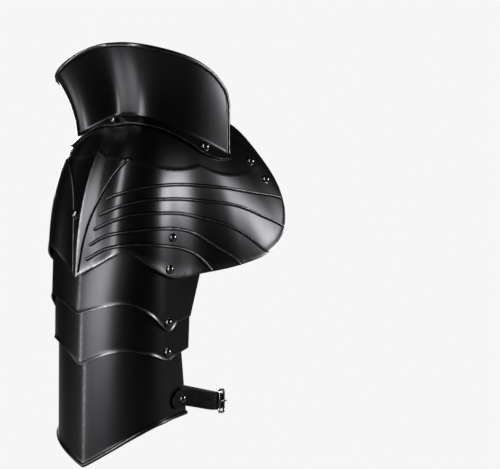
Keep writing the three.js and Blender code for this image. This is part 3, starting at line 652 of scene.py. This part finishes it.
def buildMainPlate():
    half = np.concatenate([np.arange(0, 24, 0.6), np.linspace(24, 180, 112)])
    bearings = np.concatenate([half[::-1], -half[1:]])        # from the neck side by the front
    falls = np.concatenate([np.linspace(0, 0.42, 20, endpoint=False), np.linspace(0.42, 1, 96)])
    bearing, fall = np.meshgrid(bearings, falls)
    bearing = np.clip(bearing, -179.999, 180)
    points = plateSurface(bearing, fall)
    points[0, :] = platePoint(np.array(0.0), np.array(0.0))
    reach = meridianAt(bearing)[0] * plate["reach"]
    # the plate's edges are lighter: rubbed wear together with a painted edge highlight
    worn = np.exp(-(((1 - fall) * reach / plate["wornEdge"]) ** 2))
    border = borderHeight(bearing) - (points[..., 2] + seat["height"])
    # a thin painted highlight line along the panel's scalloped border
    borderHighlight = np.exp(-((border / plate["wornEdge"]) ** 2)) * 0.5 * (np.abs(bearing) < 135)
    # a painted highlight line along the ridge crease
    crease = np.exp(-((bearing / 0.7) ** 2)) * smoothStep(0.4, 0.5, fall) * 0.6
    worn = np.maximum(np.maximum(worn, borderHighlight), crease)
    centre = Vector((plate["crownReach"], 0, -0.1))
    pieces = [gridPiece("plateSheet", points, worn, tube["thickness"], lambda c: c - centre,
                        closeRing=True, sharpColumn=len(half) - 1)]
    for side in (1, -1):
        for k, places in enumerate(plate["flutes"] if side > 0 else plate["flutes"][:1]):
            width = plate["firstFluteWidth"] if k == 0 else plate["fluteWidth"]
            height = plate["fluteHeight"] * (0.75 if k == 0 else 1)
            pieces.append(plateRib("flute", places, side, width, height))
        pieces.append(plateBead("neckBead", side))
    piece = joinAll(pieces, "shoulderPlate")
    return finish(piece, "shoulder", steelSheet, ["main_plate"])


buildMainPlate()
print("shoulder plate ready")


# neck guard

guard = {
    "centre": 96 * mm, "height": 69 * mm, "flare": 19 * mm, "lift": 0.7 * mm, "rim": 2.5 * mm,
    "bend": 2.4 * mm, "cornerFrom": 0.88, "cornerDrop": 0.17,
    "evening": {"rim": 12, "foot": 9, "outward": 24, "flare": 16},   # in steps of the run
    # the rim comes down towards its back end
    "rimFall": [(-1, 0.68), (-0.85, 0.75), (-0.7, 0.83), (-0.55, 0.92), (-0.4, 0.98), (-0.2, 1), (1, 1)],
    # u from the back end (-1) over the ridge (0) to the front end (1): bend on the plate
    # (bearing, height), edge of the flange (bearing, height), wall height and flare
    "run": [
        (-1, -116, 1.08, -117, 1.025, 0.92, 0.5), (-0.85, -95, 1.2, -92, 1.09, 0.96, 0.9),
        (-0.7, -70, 1.25, -68, 1.14, 0.96, 1.1), (-0.55, -46, 1.24, -46, 1.175, 0.95, 1.1),
        (-0.42, -31, 1.27, -30.5, 1.21, 0.97, 1), (-0.35, -26, 1.34, -25, 1.28, 1.05, 1),
        (-0.25, -19, 1.44, -17.5, 1.37, 1.06, 0.98), (-0.15, -11, 1.49, -9, 1.4, 1.01, 0.93),
        (0, 0, 1.5, 0, 1.4, 1, 0.9), (0.14, 15, 1.505, 18, 1.43, 1, 0.95),
        (0.35, 38.7, 1.485, 38, 1.41, 1, 1), (0.53, 59.5, 1.43, 56, 1.36, 1.02, 0.92),
        (0.69, 78, 1.35, 74, 1.27, 1.07, 0.6), (0.8, 91, 1.285, 85, 1.19, 1.09, 0.35),
        (0.87, 99, 1.24, 91, 1.125, 1.1, 0.22), (0.95, 109.5, 1.155, 104, 1.05, 1.11, 0.08),
        (1, 116, 1.08, 116.5, 1.025, 1, 0),
    ],
}


def liftedPlate(bearing, level, lift):
    fall = fallAtHeight(bearing, level * plate["drop"])
    return platePoint(bearing, fall) + plateNormal(bearing, fall) * lift


# bend and hem of the guard's outer face at u, then its wall's outward direction, height and flare
def guardFace(u):
    column = [readTable(guard["run"], u, k) for k in range(1, 7)]
    lift = guard["lift"] + tube["thickness"]
    foot = liftedPlate(column[0], column[1], lift)
    hem = liftedPlate(column[2], column[3], lift)
    outward = foot - np.array([guard["centre"], 0, 0])
    outward[..., 2] = 0
    return foot, hem, unit(outward), guard["height"] * column[4], guard["flare"] * column[5]


def buildNeckGuard():
    run = np.linspace(-1, 1, 221)
    foot, hem, outward, height, flare = guardFace(run)
    height = height * readTable(guard["rimFall"], run, 1)
    evening = guard["evening"]
    rim = softened(foot[:, 2] + height, evening["rim"])
    foot, outward = softened(foot, evening["foot"]), unit(softened(outward, evening["outward"]))
    flare = softened(flare, evening["flare"])
    height = rim - foot[:, 2]
    corner = np.clip((np.abs(run) - guard["cornerFrom"]) / (1 - guard["cornerFrom"]), 0, 1)
    height = height * (1 - guard["cornerDrop"] * (1 - np.sqrt(1 - corner**2)))
    along = unit(hem - foot)
    rows = []
    for s in np.linspace(0, 1, 9):                            # flange, from its edge in
        rows.append(hem + (foot + along * guard["bend"] - hem) * s)
    start, upward = rows[-1], foot.copy()
    upward[:, 2] += guard["bend"]
    for s in np.linspace(0, 1, 7)[1:]:                        # rounded bend
        rows.append(start * (1 - s) ** 2 + foot * 2 * s * (1 - s) + upward * s**2)
    low = guard["bend"] / guard["height"]
    for s in np.linspace(low, 1, 46)[1:]:                     # wall, flaring to its rim
        point = foot + outward * (flare * s * s)[:, None]
        point[:, 2] += height * s
        rows.append(point)
    points = np.array(rows)
    rise = np.linspace(0, 1, len(rows))[:, None] * np.ones(len(run))
    # the flange's edge is lighter: rubbed wear together with a painted edge highlight
    wear = np.exp(-((rise / 0.012) ** 2))
    middle = Vector((guard["centre"], 0, 0))
    sheet = gridPiece("guardSheet", points, wear, tube["thickness"],
                      lambda c: Vector((c.x - middle.x, c.y, 0.3 * abs(c.x - middle.x))))
    inwards = -outward * tube["thickness"] / 2
    top = points[-1] + inwards
    frontEdge = points[8:, -1] + inwards[-1]
    backEdge = points[8:, 0] + inwards[0]
    rimLine = smoothLine(np.vstack([backEdge[1:-4:5], top[2:-2:6], frontEdge[-4:1:-5]]), 260)
    rim = tubeAlong("guardRim", rimLine, guard["rim"])
    piece = joinAll([sheet, rim], "neckGuard")
    return finish(piece, "shoulder", steelSheet, ["neck_guard"])


buildNeckGuard()
print("neck guard ready")


# arm lames and cannon

upperLength, lowerLength, cannonLength = 55.5 * mm, 32 * mm, 110 * mm
nose = tube["halfWidth"] * tube["noseShare"]
armPlates = {
    "lame_1": {"name": "upperLame", "body": "upper_lame", "axis": 0, "length": upperLength, "nose": nose,
               "spread": 0.16, "halfWidth": tube["halfWidth"], "widen": 0.012, "reach": 78 * mm,
               "reachLoss": 0.5, "edges": [
                   (0, 0.5, -0.755), (0.25, 0.6, -0.6), (0.5, 0.64, -0.56), (0.75, 0.46, -0.8),
                   (1, 0.25, -1.17), (1.35, 0.2, -1.09), (2, 0.1, -1.1)]},
    "lame_2": {"name": "lowerLame", "body": "lower_lame", "axis": -upperLength, "length": lowerLength,
               "nose": nose + 2.6 * mm, "spread": 0.094,
               "halfWidth": tube["halfWidth"] - tube["thickness"] - tube["sheetGap"] + 0.66 * mm,
               "widen": 0.02, "reach": 50 * mm, "reachLoss": 0.12, "edges": [
                   (0, 0.84, -1.22), (0.25, 1.1, -0.84), (0.5, 1.2, -0.74), (0.75, 0.8, -0.95),
                   (1, 0.38, -1.27), (1.35, 0.34, -1.25), (2, 0.3, -1.26)]},
    "lower_cannon": {"name": "cannonPlate", "body": "cannon", "axis": -upperLength - lowerLength,
                     "length": cannonLength, "nose": nose - 1 * mm, "spread": 0.073,
                     "halfWidth": tube["halfWidth"] - 2 * (tube["thickness"] + tube["sheetGap"]) + 1.3 * mm,
                     "widen": 0.023, "reach": 34 * mm, "reachLoss": -0.07, "edges": [
                         (0, 0.08, -1.04), (0.25, 0.17, -0.88), (0.5, 0.2, -0.75), (0.75, 0.16, -0.675),
                         (1, 0.11, -0.665), (1.5, 0.09, -0.69), (2, 0.07, -0.725)],
                     "backEdges": [
                         (0, 0.08, -1.04), (0.25, 0.17, -0.975), (0.5, 0.2, -0.925), (0.75, 0.16, -0.9),
                         (1, 0.11, -0.89), (1.5, 0.09, -0.88), (2, 0.07, -0.87)]},
}


# outer face at s: ridge 0, front 1, inner edge 2, negative behind
def armPoint(part, s, height):
    a = np.abs(s)
    deep = part["nose"] - part["spread"] * height
    wide = part["halfWidth"] - part["widen"] * height
    reach = part["reach"] + part["reachLoss"] * height
    turn = np.minimum(a, 1) * math.pi / 2
    crest = tube["crestRise"] * np.exp(-((np.minimum(a, 1) * 90 / tube["crestWidth"]) ** 1.25))
    x = -deep * np.cos(turn) ** (2 / tube["fullness"]) - crest * (a <= 1)
    y = wide * np.sin(turn) ** (2 / tube["fullness"])
    on = np.maximum(a - 1, 0)
    x = np.where(a > 1, reach * on, x)
    y = np.where(a > 1, wide - tube["tuck"] * on * on, y)
    z = part["axis"] + height - seat["height"]
    return np.stack([x, np.where(s < 0, y, -y), z + 0 * x], axis=-1)


def armEdge(part, s, column):
    front = readTable(part["edges"], np.abs(s), column)
    back = readTable(part.get("backEdges", part["edges"]), np.abs(s), column)
    return part["length"] * np.where(s < 0, back, front)


def armStations():
    front = np.concatenate([np.linspace(0, 0.2, 16, endpoint=False),
                            np.linspace(0.2, 1, 44, endpoint=False), np.linspace(1, 2, 30)])
    return np.concatenate([front[::-1], -front[1:]])


def buildArmPlate(node, part, rows):
    stations = armStations()
    down = 1 - np.linspace(1, 0, rows) ** 1.25
    s, share = np.meshgrid(stations, down)
    top, foot = armEdge(part, s, 1), armEdge(part, s, 2)
    height = top + (foot - top) * share
    points = armPoint(part, s, height)
    lip = np.exp(-(((height - foot) / tube["lipWidth"]) ** 2)) * tube["lip"]
    lip = lip * (1 - smoothStep(1.2, 1.6, np.abs(s)))
    points = points + unit((points - [0.01, 0, 0]) * [1, 1, 0]) * lip[..., None]
    edge = np.minimum(np.abs(height - foot), np.abs(height - top))
    edge = np.minimum(edge, (2 - np.abs(s)) * part["reach"])
    # lighter edges, rubbed wear together with a painted edge highlight, and a painted highlight line along
    # the ridge crease
    wear = np.maximum(np.exp(-((edge / tube["wornEdge"]) ** 2)), np.exp(-((s / 0.012) ** 2)) * 0.5)
    centre = Vector((20 * mm, 0, 0))
    sheet = gridPiece(part["name"], points, wear, tube["thickness"],
                      lambda c: Vector((c.x - centre.x, c.y, 0)), sharpColumn=len(stations) // 2)
    pieces = [sheet]
    if node == "lower_cannon":
        line = armPoint(part, stations * 0.995, armEdge(part, stations * 0.995, 2))
        middle = len(stations) // 2
        pieces.append(tubeAlong("cannonRollFront", line[: middle + 1], tube["roll"]))
        pieces.append(tubeAlong("cannonRollBack", line[middle:], tube["roll"]))
    piece = joinAll(pieces, part["name"])
    return finish(piece, part["body"], steelSheet, [node])


for node, rows in (("lame_1", 52), ("lame_2", 40), ("lower_cannon", 80)):
    buildArmPlate(node, armPlates[node], rows)
print("arm plates ready")


# rivets

rivet = {"radius": 5 * mm, "height": 3.5 * mm, "fitted": 2.6 * mm, "collar": 0.5 * mm,
         "burr": 3.4 * mm, "burrHeight": 0.9 * mm, "domeShare": 0.93,
         "sunk": {"rivet_neck": 0.8 * mm, "rivet_ridge": 0.8 * mm, "rivet_flange_ridge": 0.6 * mm}}


# a dome over a thin collar, along +Z from the sheet
def rivetHead(name):
    radius = rivet["radius"] * rivet["domeShare"]
    deselectAll()
    bpy.ops.mesh.primitive_uv_sphere_add(segments=40, ring_count=24, radius=radius)
    dome = bpy.context.object
    editMesh(dome, lambda: bpy.ops.mesh.bisect(plane_co=(0, 0, 0), plane_no=(0, 0, 1),
                                               clear_inner=True, use_fill=True),
             lambda: bpy.ops.transform.resize(value=(1, 1, rivet["height"] / radius)))
    deselectAll()
    bpy.ops.mesh.primitive_cylinder_add(vertices=40, radius=rivet["radius"], depth=rivet["collar"],
                                        location=(0, 0, rivet["collar"] / 2))
    collar = bpy.context.object
    addBevel(collar, 0.2 * mm, 2)
    applyModifiers(collar)
    piece = joinAll([dome, collar], name)
    shadeByAngle(piece, 38)
    # the dome's top is made lighter than its sides
    setWearAndHighlight(piece, [0.2 + 0.6 * (v.co.z > rivet["height"] * 0.8) for v in piece.data.vertices])
    return piece


# the set end on the inside, a plain disc
def rivetBurr(name):
    deselectAll()
    bpy.ops.mesh.primitive_cylinder_add(vertices=32, radius=rivet["burr"], depth=rivet["burrHeight"])
    burr = bpy.context.object
    addBevel(burr, 0.3 * mm, 3)
    applyModifiers(burr)
    shadeByAngle(burr, 38)
    setWearAndHighlight(burr, [0.3] * len(burr.data.vertices))
    burr.name = name
    return burr


def rivetAxis(node):
    low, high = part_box(node)
    middle = (low + high) / 2
    if node.startswith(("pivot", "rivet_strap")):
        return Vector((0, -1 if middle.y < 0 else 1, 0))
    bearing, fall = plateOver(middle.x, middle.y)
    return Vector(plateNormal(np.array(bearing), np.array(fall)))


def placeRivets():
    head, burr = rivetHead("rivetHeadPattern"), rivetBurr("rivetBurrPattern")
    for node, cadNode in frame["nodes"].items():
        if not node.startswith(("pivot", "rivet")):
            continue
        axis = rivetAxis(node)
        along = [v.co.dot(axis) for v in cadNode.data.vertices]
        low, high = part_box(node)
        middle = (low + high) / 2
        flat = middle - axis * middle.dot(axis)
        turn = axis.to_track_quat("Z", "Y").to_matrix().to_4x4()
        pieces = []
        raised = 0.0
        if node.startswith(("pivot_1", "rivet_plate", "rivet_ridge", "rivet_neck")):
            bearing, fall = plateOver(middle.x, middle.y)
            level = np.array(middle.z + seat["height"])
            raised = float(plateRelief(np.array(bearing), np.array(fall), level))
        sunk = sum(depth for start, depth in rivet["sunk"].items() if node.startswith(start))
        top = max(along) - rivet["fitted"] + raised - sunk
        for pattern, at in ((head, top), (burr, min(along) + rivet["burrHeight"] / 2)):
            copy = pattern.copy()
            copy.data = pattern.data.copy()
            bpy.context.scene.collection.objects.link(copy)
            copy.data.transform(Matrix.Translation(flat + axis * at) @ turn)
            pieces.append(copy)
        piece = joinAll(pieces, "".join(w.capitalize() if k else w for k, w in enumerate(node.split("_"))))
        body = cadNode["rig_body"]
        finish(piece, body, steelRivet, [node])
    for pattern in (head, burr):
        bpy.data.objects.remove(pattern)


placeRivets()
print("rivets ready")


# strap, keeper and buckle

strap = {"width": 19.5 * mm, "thickness": 2.4 * mm, "crown": 0.35 * mm, "reach": 118 * mm,
         "ease": 11.1 * mm, "drop": 58 * mm, "holeDepth": 1.5 * mm,
         "sag": 0.42, "tab": 28 * mm, "gap": 0.3 * mm, "buckleAt": 0.268, "keeperAt": 0.8,
         "holes": (0.235, 0.2, 0.165), "holeRadius": 1.5 * mm, "fullness": 0.66,
         "tailFrom": -15 * mm, "tailTo": 16 * mm, "tailThickness": 1.8 * mm, "wornEdge": 0.9 * mm}
keeper = {"clear": 1.4 * mm, "wall": 1.7 * mm, "corner": 1.6 * mm, "halfWidth": 4 * mm,
          "thickness": 1.3 * mm, "wornEdge": 0.8 * mm}
buckle = {"wire": 1.4 * mm, "length": 22 * mm, "corner": 3.4 * mm, "seat": 0.15 * mm, "prong": 1.1 * mm,
          "tilt": 13, "clear": 2.6 * mm}


def strapLine(count):
    cannon = armPlates["lower_cannon"]
    seatY = cannon["halfWidth"] + cannon["widen"] * strap["drop"] + strap["gap"]
    level = cannon["axis"] - strap["drop"] - seat["height"]
    halfWidth = tube["halfWidth"] + strap["ease"]
    front = [(strap["tab"] * share, -seatY, level) for share in (0.3, 0.72, 1.1)]
    middle = strap["tab"] * 1.35
    for i in range(1, 10):
        turn = (9 - i) / 9 * math.pi / 2
        x = middle + (strap["reach"] - middle) * math.cos(turn) ** strap["fullness"]
        y = -halfWidth * math.sin(turn) ** strap["fullness"] if i < 9 else 0.0
        front.append((x, y, level - strap["sag"] * (x - strap["tab"] * 1.1)))
    back = [(x, -y, z) for x, y, z in front[:-1]][::-1]
    return smoothLine(front + back, count)


strapRun = strapLine(1201)


# middle of the inner face, direction along, outward and up at shares of the strap's run
def strapFrames(shares):
    at = np.clip(np.asarray(shares, float), 0, 1) * (len(strapRun) - 1)
    low = np.clip(at.astype(int), 2, len(strapRun) - 3)
    point = np.stack([np.interp(at, np.arange(len(strapRun)), strapRun[:, k]) for k in range(3)], -1)
    along = unit(strapRun[low + 2] - strapRun[low - 2])
    out = unit(np.stack([along[..., 1], -along[..., 0], 0 * along[..., 0]], -1))
    return point, along, out, np.cross(out, along)


def buildStrap():
    shares = np.linspace(0, 1, 400)
    across = np.linspace(-1, 1, 31)
    point, along, out, up = strapFrames(shares)
    length = np.linalg.norm(np.diff(strapRun, axis=0), axis=1).sum()
    fromEnd = np.minimum(shares, 1 - shares) * length
    radius = strap["width"] / 2
    rounding = np.sqrt(np.maximum(radius**2 - (radius - fromEnd) ** 2, (1 * mm) ** 2))
    half = np.where(fromEnd < radius, rounding, radius)
    w = across[:, None] * half[None, :]
    face = point[None] + up[None] * w[..., None]
    crown = -strap["crown"] * (w / radius) ** 6
    dent = np.zeros_like(w)
    for hole in strap["holes"]:
        away = np.hypot((shares[None, :] - hole) * length, w)
        dent = np.maximum(dent, smoothStep(strap["holeRadius"] * 1.25, strap["holeRadius"] * 0.8, away))
    face = face + out[None] * (strap["thickness"] + crown - strap["holeDepth"] * dent)[..., None]
    edge = np.minimum(radius - np.abs(w), np.maximum(fromEnd[None, :], 0) + 0 * w)
    wear = np.exp(-((edge / strap["wornEdge"]) ** 2))
    band = gridPiece("strapBand", face, wear, strap["thickness"] - strap["crown"],
                     lambda c: Vector((c.x - 50 * mm, c.y, 0)) if c.x > 40 * mm else Vector((0, c.y, 0)),
                     edgeRound=0.5 * mm)
    band = joinAll([band, buildTail()], "strapBand")
    return finish(band, "cannon", strapLeather, ["arm_strap"])


# the buckle's middle and its directions along, out and up, tilted a little off the strap's own
def buckleFrame():
    point, along, out, up = [v[0] for v in strapFrames([strap["buckleAt"]])]
    middle = point + out * (strap["thickness"] + strap["tailThickness"] + buckle["seat"] + buckle["wire"])
    turn = math.radians(buckle["tilt"])
    return (middle, along * math.cos(turn) + out * math.sin(turn),
            out * math.cos(turn) - along * math.sin(turn), up)


# the strap's free end, which passes straight through the buckle
def buildTail():
    middle, along, out, up = buckleFrame()
    places = np.linspace(strap["tailFrom"], strap["tailTo"], 60)
    radius = strap["width"] / 2 - 0.6 * mm
    toEnd = np.clip((strap["tailTo"] - places) / radius, 0, 1)
    half = np.maximum(radius * np.sqrt(1 - (1 - toEnd) ** 2), 1 * mm)
    w = np.linspace(-1, 1, 25)[:, None] * half[None, :]
    level = -buckle["wire"] - 0.1 * mm - 0.3 * mm * (w / radius) ** 6
    level = level - smoothStep(-6 * mm, -14 * mm, places)[None, :] * 2 * mm
    face = (middle + along * places[None, :, None] + up * w[..., None] + out * level[..., None])
    edge = np.minimum(radius - np.abs(w), (strap["tailTo"] - places)[None, :] + 0 * w)
    wear = np.exp(-((edge / strap["wornEdge"]) ** 2))
    return gridPiece("strapTail", face, wear, strap["tailThickness"], lambda c: Vector(out),
                     edgeRound=0.45 * mm)


# a narrow leather loop round the strap, with rounded corners
def buildKeeper():
    point, along, out, up = [v[0] for v in strapFrames([strap["keeperAt"]])]
    halfTall, corner = strap["width"] / 2 + keeper["clear"], keeper["corner"]
    low, high = -keeper["wall"], strap["thickness"] + keeper["wall"]
    outline = []
    middles = ((high - corner, halfTall - corner, 0), (low + corner, halfTall - corner, 90),
               (low + corner, corner - halfTall, 180), (high - corner, corner - halfTall, 270))
    for cx, cy, start in middles:
        for step in range(7):
            turn = math.radians(start + step * 15)
            outline.append((cx + corner * math.cos(turn), cy + corner * math.sin(turn)))
    outline.append(outline[0])
    outline = np.array(outline)
    lengths = np.linspace(-1, 1, 9) * keeper["halfWidth"]
    face = (point + out * outline[None, :, 0, None] + up * outline[None, :, 1, None]
            + along * lengths[:, None, None])
    edge = keeper["halfWidth"] - np.abs(lengths)
    wear = np.exp(-((edge / keeper["wornEdge"]) ** 2))[:, None] + 0 * outline[None, :, 0]
    middle = Vector(point + out * strap["thickness"] / 2)
    loop = gridPiece("strapKeeper", face, wear, keeper["thickness"], lambda c: c - middle,
                     closeRing=True, edgeRound=0.3 * mm)
    return finish(loop, "cannon", strapLeather, ["strap_keeper"])


# a flat wire frame, and a prong that is looped on its bar
def buildBuckle():
    middle, along, out, up = buckleFrame()
    halfLong, halfTall = buckle["length"] / 2, strap["width"] / 2 + buckle["clear"]
    corner = buckle["corner"]

    def place(x, y, z=0.0):
        return middle + along * x + up * y + out * z

    corners = ((halfLong, halfTall, 0), (-halfLong, halfTall, 90), (-halfLong, -halfTall, 180),
               (halfLong, -halfTall, 270))
    line = []
    for x, y, start in corners:
        cx, cy = x - math.copysign(corner, x), y - math.copysign(corner, y)
        for step in range(8):
            turn = math.radians(start + step * 90 / 7)
            line.append(place(cx + corner * math.cos(turn), cy + corner * math.sin(turn)))
    wire = tubeAlong("buckleFrame", line, buckle["wire"], closed=True, resolution=5)
    finish(wire, "cannon", wireMetal, ["buckle_frame"])
    bar, tip = halfLong, -halfLong
    body = smoothLine([place(bar - 2.3 * mm, 0, -0.4 * mm), place(bar - 1.6 * mm, 0, 1.6 * mm),
                       place(bar + 0.6 * mm, 0, 2.3 * mm), place(bar + 2.3 * mm, 0, 0.6 * mm),
                       place(bar + 1.6 * mm, 0, -1.5 * mm)], 14)
    shaft = smoothLine([place(bar - 1.2 * mm, 0, 1.9 * mm), place(0, 0, 1.5 * mm),
                        place(tip + 4 * mm, 0, 1.9 * mm), place(tip - 1.4 * mm, 0, 2.3 * mm)], 20)
    loop = tubeAlong("prongLoop", body, buckle["prong"])
    prong = joinAll([loop, tubeAlong("prongShaft", shaft, buckle["prong"])], "buckleProng")
    finish(prong, "cannon", wireMetal, ["buckle_prong"])


buildStrap()
buildKeeper()
buildBuckle()
print("strap and buckle ready")


# stage, lights and camera

studio = {
    "floorLevel": -0.75, "floor": (0.92, 0.92, 0.92), "floorLit": (0.2, 0.2, 0.2),
    "reflected": 0.03, "seen": 0.92,
    "lights": [  # name, place, aim, width, height, watts
        ("leftBox", (-1.7, 0.12, 0.55), (0, 0, -0.05), 0.5, 2.3, 44),
        ("rightBox", (1.05, -1.64, 0.12), (0, 0, 0), 0.6, 0.46, 23),
        ("guardLow", (-0.95, 0.68, -0.36), (0, 0, 0.03), 0.7, 0.6, 5),
        ("backBox", (1.3, 1.6, 0.6), (0, 0, -0.05), 0.5, 1.7, 28),
    ],
    "lens": 59.04, "camera": (-0.6698, -0.5233, 0.043), "pitch": 80, "yaw": -61.727,
}


def buildStage():
    deselectAll()
    bpy.ops.mesh.primitive_plane_add(size=12, location=(0, 0, studio["floorLevel"]))
    floor = bpy.context.object
    floor.name = "studioFloor"
    settle(floor)
    material, floorNodes, floorLinks, shader = newMaterial("paleFloor")
    setInputs(shader, {"Base Color": (*studio["floorLit"], 1), "Roughness": 0.9})
    glow = floorNodes.new("ShaderNodeEmission")
    glow.inputs["Color"].default_value = (*studio["floor"], 1)
    seenBy = floorNodes.new("ShaderNodeLightPath")
    both = floorNodes.new("ShaderNodeMixShader")
    floorLinks.new(seenBy.outputs["Is Camera Ray"], both.inputs[0])
    floorLinks.new(shader.outputs[0], both.inputs[1])
    floorLinks.new(glow.outputs[0], both.inputs[2])
    floorLinks.new(both.outputs[0], floorNodes["Material Output"].inputs["Surface"])
    floor.data.materials.append(material)
    world = bpy.data.worlds.new("softStudio")
    bpy.context.scene.world = world
    world.use_nodes = True
    nodes, links = world.node_tree.nodes, world.node_tree.links
    back = nodes["Background"]
    path = nodes.new("ShaderNodeLightPath")
    level = nodes.new("ShaderNodeMapRange")
    setInputs(level, {"To Min": studio["reflected"], "To Max": studio["seen"]})
    links.new(path.outputs["Is Camera Ray"], level.inputs["Value"])
    links.new(level.outputs["Result"], back.inputs["Strength"])
    back.inputs["Color"].default_value = (1, 1, 1, 1)
    for name, place, aim, width, height, watts in studio["lights"]:
        light = bpy.data.lights.new(name, "AREA")
        light.shape, light.size, light.size_y, light.energy = "RECTANGLE", width, height, watts
        lamp = addObject(name, light)
        lamp.visible_camera = False
        lamp.location = place
        lamp.rotation_euler = (Vector(aim) - Vector(place)).to_track_quat("-Z", "Y").to_euler()
    camera = bpy.data.cameras.new("photoCamera")
    camera.lens, camera.sensor_width = studio["lens"], 36
    viewer = addObject("photoCamera", camera)
    viewer.location = studio["camera"]
    viewer.rotation_euler = (math.radians(studio["pitch"]), 0, math.radians(studio["yaw"]))
    bpy.context.scene.camera = viewer
    bpy.context.scene.view_settings.view_transform = "Standard"


buildStage()
print("stage ready")
